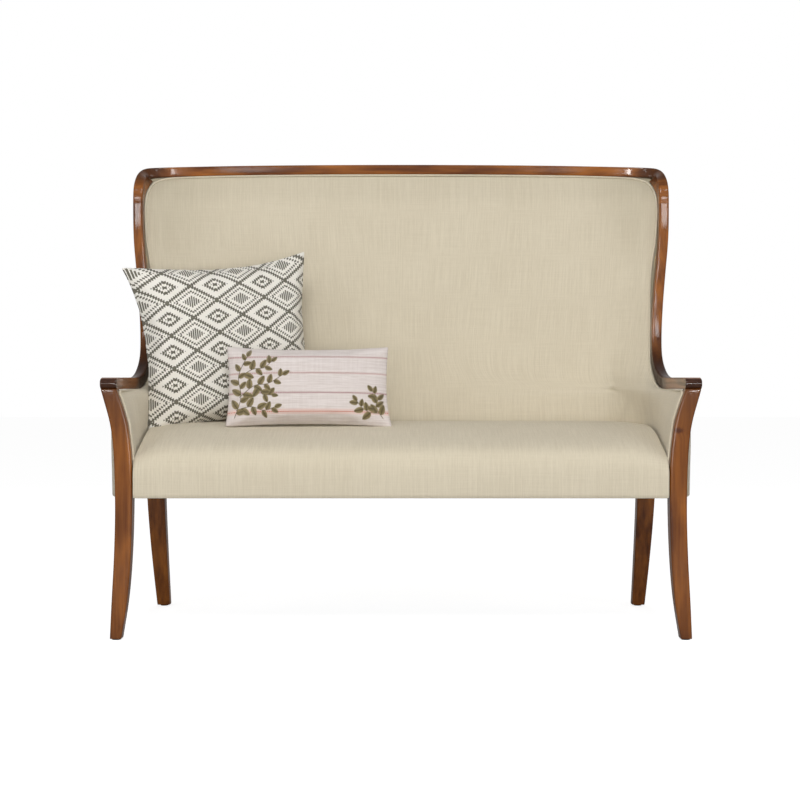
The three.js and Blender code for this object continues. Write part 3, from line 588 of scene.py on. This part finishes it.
def under_cloth():
    """The thin cloth under the seat, which sags a little between the rails."""
    low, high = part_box("dust_cover")
    size_x, size_y = high[0] - low[0], high[1] - low[1]
    bpy.ops.mesh.primitive_grid_add(x_subdivisions=48, y_subdivisions=20, size=1)
    piece = bpy.context.object
    piece.name = "under_cloth"
    centre = Vector(((low[0] + high[0]) / 2, (low[1] + high[1]) / 2, low[2]))
    for vertex in piece.data.vertices:
        u, v = vertex.co.x * 2, vertex.co.y * 2
        sag = 0.004 * (1 - u ** 4) * (1 - v * v)
        vertex.co = centre + Vector((u * size_x / 2, v * size_y / 2, 0.0008 - sag))
    finish_with(piece, "SOLIDIFY", thickness=0.0007, offset=0)
    shade_soft(piece, 40)
    settle(piece, "settee", "cambric", "dust_cover")
    return piece


dust = under_cloth()


# Loose cushions
class Pillow:
    """One loose cushion: its size, its middle and how it leans, in metres and radians."""

    def __init__(self, name, node, width, height, thickness, middle, yaw, lean, roll):
        self.name, self.node = name, node
        self.width, self.height, self.thickness = width, height, thickness
        self.place = (
            Matrix.Translation(middle) @ Matrix.Rotation(yaw, 4, "Z")
            @ Matrix.Rotation(-lean, 4, "X") @ Matrix.Rotation(roll, 4, "Y")
        )

    def stuffed(self, cells, pressure):
        """A flat case, sewn shut and blown up by its filling, in its own upright frame."""
        across = round(cells * self.width / max(self.width, self.height))
        up = round(cells * self.height / max(self.width, self.height))
        bpy.ops.mesh.primitive_grid_add(x_subdivisions=across, y_subdivisions=up, size=1)
        piece = bpy.context.object
        piece.name = self.name
        mesh = piece.data
        for vertex in mesh.vertices:
            u, v = vertex.co.x, vertex.co.y
            vertex.co = (u * self.width, 0.0004 * math.sin(u * 31) * math.cos(v * 27), v * self.height)
        case = mesh.uv_layers[0].data
        for loop in mesh.loops:
            place = mesh.vertices[loop.vertex_index].co
            case[loop.index].uv = (place.x, place.z)
        finish_with(piece, "SOLIDIFY", thickness=0.004, offset=0)
        in_edit(piece, select_all, lambda: bpy.ops.mesh.normals_make_consistent(inside=False))
        cloth = piece.modifiers.new("Stuffing", "CLOTH")
        cloth.settings.quality = 6
        cloth.settings.use_pressure = True
        cloth.settings.uniform_pressure_force = pressure
        cloth.settings.tension_stiffness = 18
        cloth.settings.compression_stiffness = 18
        cloth.settings.shear_stiffness = 6
        cloth.settings.bending_stiffness = 0.4
        cloth.settings.effector_weights.gravity = 0
        cloth.point_cache.frame_start, cloth.point_cache.frame_end = 1, 20
        for moment in range(1, 21):
            bpy.context.scene.frame_set(moment)
        pick(piece)
        bpy.ops.object.modifier_apply(modifier=cloth.name)
        bpy.context.scene.frame_set(1)
        return piece

    def fitted(self, piece, drawn_in, evenness, ears):
        """Takes the blown up case to the cushion's real outline and size."""
        rest = {}
        case = piece.data.uv_layers[0].data
        for loop in piece.data.loops:
            rest[loop.vertex_index] = case[loop.index].uv.copy()
        for vertex in piece.data.vertices:
            u, v = (2 * rest[vertex.index].x / self.width, 2 * rest[vertex.index].y / self.height)
            x = u * (1 - drawn_in * (1 - v * v) * u * u) * self.width / 2
            z = v * (1 - drawn_in * (1 - u * u) * v * v) * self.height / 2
            vertex.co.x = mix(vertex.co.x, x, evenness)
            vertex.co.z = mix(vertex.co.z, z, evenness)
            ear_x, ear_z = ears[v > 0][u > 0]
            vertex.co.x += math.copysign(ear_x * abs(u) ** 7 * abs(v) ** 2.5, u)
            vertex.co.z += math.copysign(ear_z * abs(v) ** 7 * abs(u) ** 3, v)
        depths = [v.co.y for v in piece.data.vertices]
        low, high = min(depths), max(depths)
        for vertex in piece.data.vertices:
            vertex.co.y = (vertex.co.y - (low + high) / 2) * self.thickness / (high - low)
        subdivide(piece, 1)
        return piece

    def laid(self, piece):
        piece.data.transform(self.place)
        shade_soft(piece)


def turn(share):
    return share * 2 * math.pi


large = Pillow(
    "printed_cushion", "large_cushion", 0.474, 0.444, 0.128, (-0.474, 0.021, 0.7452),
    turn(0.056), turn(0.012), turn(-0.013),
)
small = Pillow(
    "striped_cushion", "small_cushion", 0.425, 0.208, 0.088, (-0.245, -0.109, 0.6282),
    turn(0.008), turn(0.025), 0.0,
)
# How far each corner's ear stands out, in metres: the lower left and right, then the upper ones.
large_ears = (((0.002, 0.010), (0.004, 0.004)), ((0.031, 0.003), (0.012, -0.020)))
small_ears = (((0.004, 0.002), (0.010, 0.006)), ((0.002, 0.004), (0.001, 0.003)))
printed_cushion = large.fitted(large.stuffed(64, 2.4), 0.055, 0.65, large_ears)
striped_cushion = small.fitted(small.stuffed(64, 1.6), 0.03, 0.7, small_ears)


# Embroidery on the small cushion
leaf_length, leaf_width = 0.027, 0.0155


def front_of(piece):
    points = [v.co.copy() for v in piece.data.vertices]
    return BVHTree.FromPolygons(points, [list(f.vertices) for f in piece.data.polygons])


def on_front(front, x, z, above):
    hit, normal = front.ray_cast(Vector((x, -1, z)), Vector((0, 1, 0)))[:2]
    return hit + normal * above if hit else Vector((x, 0, z))


def sewn_leaf(front, base, heading, length, width):
    """One raised leaf in satin stitch, laid on the cushion's front."""
    long, wide = 10, 4
    bpy.ops.mesh.primitive_grid_add(x_subdivisions=long, y_subdivisions=wide, size=2)
    leaf = bpy.context.object
    side = Vector((-heading.y, heading.x))
    for vertex in leaf.data.vertices:
        along, across = vertex.co.x, vertex.co.y
        span = width / 2 * (1 - along * along) ** 0.6 * (1 - 0.25 * along)
        spot = base + heading * (along + 1) / 2 * length + side * across * span
        rise = 0.0003 + 0.0014 * (1 - across * across) * (1 - along * along) ** 0.5
        vertex.co = on_front(front, spot.x, spot.y, rise)
    for loop in leaf.data.loops:
        at = loop.vertex_index
        leaf.data.uv_layers[0].data[loop.index].uv = (at % (long + 1) / long, at // (long + 1) / wide)
    return leaf


def sewn_spray(front, points, leaves, length, width):
    """A curved stem with leaves in pairs, a little smaller toward its tip."""
    line = smooth_line([(x, z, 0) for x, z in points], 10)
    stem = drawn_line("stem", [on_front(front, p.x, p.y, 0.0006) for p in line], 0.0008, 8)
    parts = [stem]
    for at in range(leaves):
        share = (at + 1) / leaves
        spot = min(len(line) - 2, round(share * (len(line) - 1)))
        ahead = line[spot + 1] - line[spot]
        base_angle = math.atan2(ahead.y, ahead.x)
        spread = math.radians(52) if share < 1 else 0.0
        swing = (1 if at % 2 else -1) * spread
        heading = Vector((math.cos(base_angle + swing), math.sin(base_angle + swing)))
        scale = 1.12 - 0.35 * share + 0.08 * math.sin(at * 2.7)
        base = Vector((line[spot].x, line[spot].y))
        parts.append(sewn_leaf(front, base, heading, length * scale, width * scale))
    return parts


def embroidery():
    front = front_of(striped_cushion)
    w, h = small.width / 2, small.height / 2
    sprays = [
        ([(-0.90, -0.82), (-0.82, -0.30), (-0.85, 0.25), (-0.74, 0.76)], 11),
        ([(-0.84, -0.30), (-0.66, -0.02), (-0.48, 0.04), (-0.30, 0.26)], 9),
        ([(-0.88, -0.62), (-0.70, -0.54), (-0.54, -0.64), (-0.40, -0.56)], 8),
        ([(-0.84, 0.22), (-0.68, 0.40), (-0.54, 0.44), (-0.44, 0.60)], 7),
        ([(-0.62, 0.02), (-0.56, -0.22), (-0.44, -0.26)], 5),
        ([(0.93, -0.84), (0.84, -0.56), (0.86, -0.34), (0.79, -0.14)], 8),
        ([(0.90, -0.70), (0.76, -0.68), (0.66, -0.56), (0.60, -0.40)], 7),
    ]
    parts = []
    for points, leaves in sprays:
        parts += sewn_spray(front, [(x * w, z * h) for x, z in points], leaves, leaf_length, leaf_width)
    pick(*parts)
    bpy.ops.object.join()
    piece = parts[0]
    piece.name = "embroidery"
    small.laid(piece)
    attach(piece, "small_cushion_body")
    return piece


sewn = embroidery()
for pillow, piece, slot, fill in (
    (large, printed_cushion, "printed_cotton", 0.75), (small, striped_cushion, "striped_linen", 0.8),
):
    pillow.laid(piece)
    settle(piece, f"{pillow.node}_body", slot, pillow.node)


# Materials
class Signal:
    """A socket of a material's graph. Sums on it make the nodes that work them out."""

    def __init__(self, tree, socket):
        self.tree, self.socket = tree, socket

    def node(self, kind, settings, values, output=0):
        """Any node of this tree: its type, then its settings, then the values of its sockets."""
        made = self.tree.nodes.new("ShaderNode" + kind)
        for name, value in settings.items():
            setattr(made, name, value)
        for name, value in values.items():
            feed(self.tree, made.inputs[name], value)
        return Signal(self.tree, made.outputs[output])

    def sum(self, operation, *others):
        return self.node("Math", {"operation": operation}, dict(enumerate((self,) + others)))

    def __add__(self, other):
        return self.sum("ADD", other)

    __radd__ = __add__

    def __sub__(self, other):
        return self.sum("SUBTRACT", other)

    def __rsub__(self, other):
        return -self + other

    def __mul__(self, other):
        return self.sum("MULTIPLY", other)

    def __truediv__(self, other):
        return self.sum("DIVIDE", other)

    def __neg__(self):
        return self * -1.0

    def __pow__(self, other):
        return self.sum("POWER", other)

    def __abs__(self):
        return self.sum("ABSOLUTE")

    def less(self, other):
        return self.sum("LESS_THAN", other)

    def more(self, other):
        return self.sum("GREATER_THAN", other)

    def sine(self):
        return self.sum("SINE")

    def part(self):
        return self.sum("FRACT")

    def floor(self):
        return self.sum("FLOOR")

    def least(self, other):
        return self.sum("MINIMUM", other)

    def most(self, other):
        return self.sum("MAXIMUM", other)

    def ramp(self, low, high, start=0.0, end=1.0):
        """This value taken from low..high to start..end, smoothly and no further."""
        if low > high:
            low, high, start, end = high, low, end, start
        return self.node(
            "MapRange", {"interpolation_type": "SMOOTHSTEP"},
            {"Value": self, "From Min": low, "From Max": high, "To Min": start, "To Max": end},
        )

    def colour(self, low, high):
        """A colour between two, by this value."""
        return self.node("Mix", {"data_type": "RGBA"}, {0: self, 6: low, 7: high}, 2)

    def point(self, y, z):
        return self.node("CombineXYZ", {}, {"X": self, "Y": y, "Z": z})

    def noise(self, detail=2.0, roughness=0.5):
        """Soft noise at this point, about one unit across."""
        return self.node(
            "TexNoise", {"noise_dimensions": "3D"},
            {"Vector": self, "Scale": 1.0, "Detail": detail, "Roughness": roughness},
        )


def feed(tree, socket, value):
    if isinstance(value, Signal):
        tree.links.new(value.socket, socket)
    else:
        socket.default_value = value


def linear(red, green, blue):
    """A colour written in the usual 0 to 255 steps, as the shader takes it."""
    steps = [step / 255 for step in (red, green, blue)]
    return tuple(s / 12.92 if s <= 0.04045 else ((s + 0.055) / 1.055) ** 2.4 for s in steps) + (1.0,)


class Finish:
    """One material and its shader."""

    def __init__(self, name, **settings):
        self.material = bpy.data.materials.new(name)
        self.material.use_nodes = True
        self.tree = self.material.node_tree
        self.shader = self.tree.nodes["Principled BSDF"]
        for setting, value in settings.items():
            self.shader.inputs[setting.replace("_", " ")].default_value = value
        place = self.tree.nodes.new("ShaderNodeTexCoord")
        self.body = Signal(self.tree, place.outputs["Object"])
        self.cut = Signal(self.tree, place.outputs["UV"])

    def axes(self, source=None):
        """The three lengths of a place, in metres."""
        parts = self.tree.nodes.new("ShaderNodeSeparateXYZ")
        feed(self.tree, parts.inputs[0], source or self.body)
        return [Signal(self.tree, output) for output in parts.outputs]

    def set(self, name, value):
        feed(self.tree, self.shader.inputs[name], value)

    def bump(self, height, distance):
        self.set("Normal", height.node("Bump", {}, {"Height": height, "Distance": distance, "Strength": 1.0}))

    def cover(self, *pieces):
        for piece in pieces:
            piece.data.materials.clear()
            piece.data.materials.append(self.material)


def side_of(x):
    return x.more(0.0) * 2.0 - 1.0


def plain_weave(u, v, thread):
    """Threads over and under each other, and the noise that keeps them from being even."""
    wander = (u * 90.0).point(v * 90.0, 0.0).noise() * 0.6
    across = ((u / thread + wander) * math.pi).sine()
    along = ((v / thread + wander) * math.pi).sine()
    return abs(across) * 0.5 + abs(along) * 0.5 + across * along * 0.3


def slubs(u, v):
    """Thicker threads: long thin streaks along one way and a few across."""
    warp = (u * 330.0).point(v * 8.0, 0.0).noise(3.0, 0.6)
    fine = (u * 1100.0).point(v * 45.0, 3.0).noise(2.0)
    weft = (u * 10.0).point(v * 520.0, 7.0).noise(2.0)
    return warp, fine, weft


def linen(finish, u, v, painted_shade):
    warp, fine, weft = slubs(u, v)
    soft = (u * 5.0).point(v * 5.0, 1.0).noise()
    tone = warp * 0.5 + fine * 0.28 + weft * 0.22 + (soft - 0.5) * 0.12
    weave = plain_weave(u, v, 0.0009)
    light = tone.ramp(0.34, 0.66)
    colour = light.colour(linear(197, 186, 163), linear(211, 201, 179))
    # Painted shade at thread scale: the weave's raised threads are lighter and its hollows darker.
    colour = (weave.ramp(0.0, 0.8) * 0.1).colour(colour, linear(219, 210, 190))
    # Painted shade: where this mask is high, the linen is taken toward a shaded tone.
    colour = painted_shade.colour(colour, linear(150, 141, 118))
    finish.set("Base Color", colour)
    finish.set("Roughness", weave.ramp(0.0, 1.0, 0.95, 0.82))
    finish.bump(weave * 0.35 + warp * 0.4 + weft * 0.3, 0.0004)
    return finish


def linen_finish(name, way, shaded=0.0):
    finish = Finish(name, Sheen_Weight=0.18, Sheen_Roughness=0.5, Specular_IOR_Level=0.25)
    x, y, z = finish.axes()
    painted_shade = x * 0.0 + shaded
    if way == "cut":
        u, v, _ = finish.axes(finish.cut)
        # Painted shade on the inside cover: darker just under the crest, and more in the upper corners where
        # the back turns forward into the wings.
        painted_shade = z.ramp(1.14, 1.19) * 0.12 + abs(x).ramp(0.48, 0.67) * z.ramp(0.9, 1.16) * 0.22
    elif way == "seat":
        u, v = x, y + z
    else:
        u, v = x + side_of(x) * (half_depth - y), z
    return linen(finish, u, v, painted_shade)


linen_finish("linen_inside", "cut").cover(cover)
linen_finish("linen_seat", "seat").cover(seat)
linen_finish("linen_outside", "round").cover(outside, welt)
# Painted shade: the lips' linen is taken most of the way to the shaded tone, for the strip that lies in the
# welt's shadow.
linen_finish("linen_lip", "round", 0.8).cover(*lips.values())


def wood_finish(name, axis, shade, polish, knot=None):
    """Polished wood with its grain along one axis, under a gloss coat; where shade is 1 it is painted darker,
    and each shade function below says where this is painted shade or painted dark reflection.
    """
    finish = Finish(name, Coat_Roughness=0.08, Coat_IOR=1.42, Specular_IOR_Level=0.12)
    x, y, z = finish.axes()
    parts = [x, y, z]
    along = parts.pop("xyz".index(axis))
    across, deep = parts
    if knot:
        knot_across, knot_along, reach = knot
        ragged = (across * 260.0).point(along * 260.0, 3.0).noise(2.0) * 0.008 - 0.004
        from_knot = (((across - knot_across) * 0.6) ** 2.0 + (along - knot_along) ** 2.0) ** 0.5 + ragged
        across = across + from_knot.ramp(0.0, reach * 3.0, 1.0, 0.0) * 0.006
    wander = (along * 4.0).point(across * 9.0, deep * 9.0).noise() * 0.6
    grain = (along * 4.0).point(across * 120.0 + wander, deep * 120.0).noise(5.0, 0.6)
    figure = (along * 1.3 + wander).point(across * 10.0, deep * 10.0).noise(2.0)
    rings = (figure * 48.0).sine() * 0.5 + 0.5
    patches = (along * 5.0).point(across * 18.0, deep * 18.0).noise(2.0)
    pores = (along * 55.0).point(across * 1500.0, deep * 1500.0).noise(1.0).ramp(0.62, 0.72)
    tone = grain * 0.42 + rings * 0.1 + patches * 0.5
    colour = tone.ramp(0.32, 0.54).colour(linear(84, 42, 14), linear(126, 72, 27))
    colour = tone.ramp(0.48, 0.72).colour(colour, linear(158, 94, 34))
    colour = (pores * 0.25).colour(colour, linear(60, 30, 15))
    if knot:
        core = from_knot.ramp(reach * 0.3, reach * 1.3, 1.0, 0.0)
        colour = (core * 0.75).colour(colour, linear(62, 24, 14))
    # The shade mask takes the wood toward near black, broken up by the patch noise; where this is painted
    # shade or painted dark reflection is said at each shade function.
    colour = (shade(x, y, z) * (0.7 + patches * 0.4)).colour(colour, linear(40, 18, 10))
    finish.set("Base Color", colour)
    finish.set("Roughness", grain.ramp(0.3, 0.7, 0.45, 0.35))
    finish.set("Coat Weight", pores.ramp(0.0, 1.0, 0.75, 0.5) * polish(x, y, z))
    finish.bump(grain * 0.2 - pores * 0.4, 0.0002)
    return finish


# Painted dark reflection on the crest's upper outer corners, where the face turns up and mirrors darkness.
def crest_shade(x, y, z):
    return abs(x).ramp(0.655, 0.70) * z.ramp(1.185, 1.225) * 0.8


# A little darker all over, plus a painted dark reflection on the lower wing that grows below about 0.82 m.
def wing_shade(x, y, z):
    return z.ramp(0.82, 0.68).most(0.12)


# Painted dark reflection at the arm's front end and toward its back end by the wing.
def arm_shade(x, y, z):
    return y.ramp(-0.334, -0.340).most(y.ramp(-0.10, -0.03))


# Darker at the foot; a painted shade on the upper post below the arm; and a little darker all over than the
# rear legs' copy.
def leg_shade(x, y, z):
    return z.ramp(0.04, -0.02) * 0.5 + z.ramp(0.44, 0.62) * 0.4 + 0.12


# Darker only at the foot: without the front legs' all-over darkening this copy stays lighter, painted light
# for the shade under the seat.
def rear_leg_shade(x, y, z):
    return z.ramp(0.04, -0.02) * 0.2


def plain_polish(x, y, z):
    return x * 0.0 + 1.0


def crest_polish(x, y, z):
    """The bent ends are rubbed brighter than the long straight of the crest."""
    return abs(x).ramp(0.58, 0.625, 0.12, 1.0)


def wing_polish(x, y, z):
    """The hollow above each arm is rubbed less than the rest."""
    return z.ramp(0.68, 0.80, 0.2, 1.0)


wood_crest = wood_finish("wood_crest", "x", crest_shade, crest_polish)
wood_wing = wood_finish("wood_wing", "z", wing_shade, wing_polish)
wood_arm = wood_finish("wood_arm", "y", arm_shade, plain_polish)
# The rear legs' wood is a lighter copy of the front legs': painted light for the shade under the seat.
wood_rear_leg_painted_light = wood_finish("wood_rear_leg_painted_light", "z", rear_leg_shade, plain_polish)
# The knot in a front leg: its place across and along the grain, and its reach.
leg_knot = (0.690, 0.521, 0.008)
wood_leg = wood_finish("wood_leg", "z", leg_shade, plain_polish, leg_knot)
for source, piece in show_wood.items():
    if source == "crest_rail":
        wood_crest.cover(piece)
    elif source.startswith("wing"):
        wood_wing.cover(piece)
    elif source.startswith("arm"):
        wood_arm.cover(piece)
    elif source.startswith("rear"):
        wood_rear_leg_painted_light.cover(piece)
    else:
        wood_leg.cover(piece)


def lattice(u, v):
    """A net of long stepped diamonds, with barred or ringed small ones inside."""
    wide, tall, tooth = 0.134, 0.088, 0.0058
    middle = ((u / tooth).floor() + 0.5) * tooth
    stepped = middle - (u - middle) * 0.7
    bleed = (u * 420.0).point(v * 90.0, 0.0).noise() * 0.003 - 0.0015
    a = abs((stepped / wide).part() - 0.5)
    b = abs(((v + bleed) / tall).part() - 0.5)
    away = a + b
    other = 1.0 - away
    gap = (u / tooth).part() - 0.5
    net = abs(away - 0.5).less(0.05)
    inner = abs(away - 0.335).less(0.026)
    barred = away.less(0.19) * abs(gap).less(0.34)
    ringed = abs(other - 0.2).less(0.045)
    dot = other.less(0.07)
    return net.most(inner).most(barred).most(ringed).most(dot)


def printed_cotton():
    """Off-white cotton, printed with a net of serrated diamonds in taupe."""
    finish = Finish("printed_cotton", Sheen_Weight=0.1, Specular_IOR_Level=0.2)
    u, v, _ = finish.axes(finish.cut)
    weave = plain_weave(u, v, 0.0011)
    ink = lattice(u + 0.031, v + 0.017) * weave.ramp(0.0, 0.6, 0.82, 1.0)
    patch = (u * 30.0).point(v * 30.0, 2.0).noise(3.0)
    cloth = patch.colour(linear(229, 224, 214), linear(242, 239, 231))
    dye = patch.colour(linear(88, 85, 73), linear(116, 112, 99))
    finish.set("Base Color", ink.colour(cloth, dye))
    finish.set("Roughness", weave.ramp(0.0, 1.0, 0.95, 0.85))
    finish.bump(weave, 0.0004)
    return finish


printed_cotton().cover(printed_cushion)


def striped_linen():
    """Pale linen with sewn stripes of dashes, and a tinted band at its foot."""
    finish = Finish("striped_linen", Sheen_Weight=0.15, Specular_IOR_Level=0.2)
    u, v, _ = finish.axes(finish.cut)
    warp, fine, weft = slubs(v, u)
    weave = plain_weave(u, v, 0.001)
    tone = (warp * 0.5 + fine * 0.3 + weft * 0.2).ramp(0.36, 0.64)
    colour = tone.colour(linear(203, 192, 187), linear(221, 213, 209))
    stitches = v * 0.0
    dash = (u / 0.0046).part().less(0.62)
    slack = (u * 60.0).point(0.0, 5.0).noise() * 0.0016 - 0.0008
    for share, tint in ((0.36, (178, 132, 130)), (0.15, (190, 150, 146)), (-0.10, (168, 120, 122))):
        away = abs(v + slack - share * small.height)
        colour = (away.ramp(0.0015, 0.0045, 1.0, 0.0) * 0.3).colour(colour, linear(*tint))
        line = away.less(0.0011) * dash
        colour = line.colour(colour, linear(*tint))
        stitches = stitches + line
    from_band = abs(v + slack + 0.34 * small.height)
    band = from_band.ramp(0.004, 0.009, 1.0, 0.0)
    colour = (band * 0.35).colour(colour, linear(224, 168, 150))
    core = from_band.less(0.0011) * dash
    colour = core.colour(colour, linear(201, 104, 78))
    finish.set("Base Color", colour)
    finish.set("Roughness", weave.ramp(0.0, 1.0, 0.95, 0.85))
    finish.bump(weave * 0.4 + warp * 0.5 + (stitches + core) * 1.2, 0.0006)
    return finish


striped_linen().cover(striped_cushion)


def satin_stitch():
    """Olive thread laid side by side across each leaf."""
    finish = Finish("satin_stitch", Sheen_Weight=0.2, Specular_IOR_Level=0.4)
    u, v, _ = finish.axes(finish.cut)
    x, y, z = finish.axes()
    shade = (x * 160.0).point(y * 160.0, z * 160.0).noise(2.0)
    threads = abs(((u * 1.6 + v * 0.5) * 38.0).sine())
    from_vein = abs(v - 0.5) * 2.0
    tone = shade * 0.5 + threads * 0.3 + from_vein.ramp(0.3, 1.0) * 0.35 - from_vein.less(0.16) * 0.3
    colour = tone.ramp(0.1, 0.95).colour(linear(84, 72, 40), linear(158, 142, 100))
    finish.set("Base Color", colour)
    finish.set("Roughness", threads.ramp(0.0, 1.0, 0.7, 0.5))
    finish.bump(threads, 0.0005)
    return finish


satin_stitch().cover(sewn)


def sawn_wood():
    finish = Finish("sawn_wood", Specular_IOR_Level=0.3)
    x, y, z = finish.axes()
    grain = (x * 12.0).point(y * 60.0, z * 60.0).noise(4.0)
    saw = abs((x * 900.0 + y * 500.0).sine())
    finish.set("Base Color", grain.ramp(0.3, 0.7).colour(linear(186, 150, 106), linear(214, 184, 140)))
    finish.set("Roughness", grain.ramp(0.0, 1.0, 0.9, 0.75))
    finish.bump(grain * 0.6 + saw * 0.2, 0.0006)
    return finish


def drawn_steel():
    finish = Finish("drawn_steel", Metallic=1.0)
    x, y, z = finish.axes()
    marks = (x * 90.0).point(y * 900.0, z * 900.0).noise(3.0)
    finish.set("Base Color", marks.colour(linear(150, 152, 156), linear(190, 192, 196)))
    finish.set("Roughness", marks.ramp(0.2, 0.8, 0.28, 0.45))
    finish.bump(marks, 0.0001)
    return finish


def rough_cloth(name, dark, pale, thread):
    finish = Finish(name, Sheen_Weight=0.1, Specular_IOR_Level=0.2)
    x, y, z = finish.axes()
    weave = plain_weave(x + z, y + z, thread)
    finish.set("Base Color", weave.ramp(0.0, 1.0).colour(linear(*dark), linear(*pale)))
    finish.set("Roughness", weave.ramp(0.0, 1.0, 1.0, 0.85))
    finish.bump(weave, thread / 2)
    return finish


def open_foam():
    finish = Finish("open_foam", Specular_IOR_Level=0.2)
    x, y, z = finish.axes()
    cells = (x * 900.0).point(y * 900.0, z * 900.0).noise(3.0)
    finish.set("Base Color", cells.ramp(0.3, 0.7).colour(linear(214, 200, 150), linear(238, 228, 190)))
    finish.set("Roughness", cells.ramp(0.0, 1.0, 1.0, 0.9))
    finish.bump(cells, 0.0008)
    return finish


frame_wood = sawn_wood()
steel = drawn_steel()
felt = rough_cloth("pressed_felt", (28, 24, 20), (52, 46, 40), 0.0007)
jute = rough_cloth("woven_jute", (128, 104, 66), (176, 150, 104), 0.0026)
cambric = rough_cloth("black_cambric", (16, 16, 18), (40, 40, 43), 0.0006)
foam = open_foam()
cambric.cover(dust)
inner_finishes = {
    "glide": felt, "spring": steel, "screw": steel, "webbing": jute, "insulator": jute, "foam": foam,
    "seat_rail": frame_wood, "block": frame_wood, "back_rail": frame_wood, "back_post": frame_wood,
    "cross_rail": frame_wood, "tack_rail": frame_wood, "wing_post": frame_wood,
}
for source, node in nodes.items():
    kinds = [key for key in inner_finishes if key in source]
    if kinds:
        inner_finishes[kinds[0]].cover(node)

# Camera
eye_run, eye_height = 3.86, 0.6464
camera = bpy.data.objects.new("camera", bpy.data.cameras.new("camera"))
bpy.context.scene.collection.objects.link(camera)
camera.location = (0.0, -half_depth - eye_run, eye_height)
camera.rotation_euler = (math.pi / 2, 0, 0)
camera.data.lens = 70.0
camera.data.sensor_width = 36
camera.data.shift_x = -0.00125
camera.data.shift_y = -0.025
bpy.context.scene.camera = camera


# Floor, backdrop and lamps
floor_glow = 0.83
plain_light = 0.3
lamp_front = -3.4


def white_floor():
    """A floor that the camera sees as white, with the object's shadow on it."""
    bpy.ops.mesh.primitive_plane_add(size=30, location=(0, 8.0, 0))
    floor = bpy.context.object
    floor.name = "floor"
    finish = Finish("floor_white", Roughness=0.9, Specular_IOR_Level=0.0)
    finish.set("Base Color", (0.5, 0.5, 0.5, 1))
    seen = Signal(finish.tree, finish.tree.nodes.new("ShaderNodeLightPath").outputs["Is Camera Ray"])
    glow = seen.node("Emission", {}, {"Color": (1, 1, 1, 1), "Strength": floor_glow})
    glow = seen.node("AddShader", {}, {0: Signal(finish.tree, finish.shader.outputs[0]), 1: glow})
    mixed = seen.node("MixShader", {}, {0: seen, 1: Signal(finish.tree, finish.shader.outputs[0]), 2: glow})
    out = finish.tree.nodes["Material Output"]
    feed(finish.tree, out.inputs["Surface"], mixed)
    finish.cover(floor)


def white_studio(plain):
    """White behind the object for the camera and for gloss, and plain soft light from all round."""
    world = bpy.data.worlds.new("studio")
    bpy.context.scene.world = world
    world.use_nodes = True
    tree = world.node_tree
    rays = tree.nodes.new("ShaderNodeLightPath")
    seen, gloss, through = (
        Signal(tree, rays.outputs[f"Is {kind} Ray"]) for kind in ("Camera", "Glossy", "Transmission")
    )
    place = tree.nodes.new("ShaderNodeTexCoord")
    parts = tree.nodes.new("ShaderNodeSeparateXYZ")
    tree.links.new(place.outputs["Generated"], parts.inputs[0])
    behind = Signal(tree, parts.outputs[1]).ramp(-0.25, 0.3)
    mirror = (gloss + through).least(1.0) * behind
    strength = seen.most(mirror).ramp(0.0, 1.0, plain, 1.0)
    feed(tree, tree.nodes["Background"].inputs["Color"], (1, 1, 1, 1))
    feed(tree, tree.nodes["Background"].inputs["Strength"], strength)


def lamp(name, place, target, size, power, gloss=1.0):
    data = bpy.data.lights.new(name, "AREA")
    data.specular_factor = gloss
    data.shape = "RECTANGLE"
    data.size, data.size_y = size
    data.energy = power
    light = bpy.data.objects.new(name, data)
    bpy.context.scene.collection.objects.link(light)
    light.location = place
    light.visible_camera = False
    light.rotation_euler = (Vector(target) - Vector(place)).to_track_quat("-Z", "Y").to_euler()


white_floor()
white_studio(plain_light)
lamp("key_left", (-0.6, lamp_front, 3.3), (0, 0, 0.7), (0.9, 0.9), 41)
lamp("key_right", (0.6, lamp_front, 3.3), (0, 0, 0.7), (0.9, 0.9), 37)
for way, side in ((-1, "left"), (1, "right")):
    lamp(f"crest_card_{side}", (way * 0.27, lamp_front, 1.84), (0, 0, 1.2), (0.14, 0.3), 4.5 - way * 1.5)
    lamp(f"wing_card_{side}", (way * 1.38, lamp_front, 2.21), (way * 0.7, 0.2, 1.1), (0.3, 0.06), 1.5)
    lamp(f"low_wing_card_{side}", (way * 1.5, lamp_front, 3.36), (way * 0.7, 0.1, 0.8), (0.14, 0.16), 1.2)
    lamp(f"arm_card_{side}", (way * 1.53, lamp_front, 0.64), (way * 0.7, -0.34, 0.64), (0.5, 0.05), 6)
    lamp(f"side_fill_{side}", (way * 2.8, -2.6, 1.5), (0, 0, 0.6), (1.2, 1.2), 14, 0.2)
lamp("low_fill", (0, -4.6, 0.35), (0, 0, 0.3), (2.4, 0.5), 24, 0.2)
lamp("back_fill", (0, 4.2, 2.4), (0, 0, 0.7), (2.0, 2.0), 22, 0.2)

bpy.context.scene.view_settings.view_transform = "Standard"
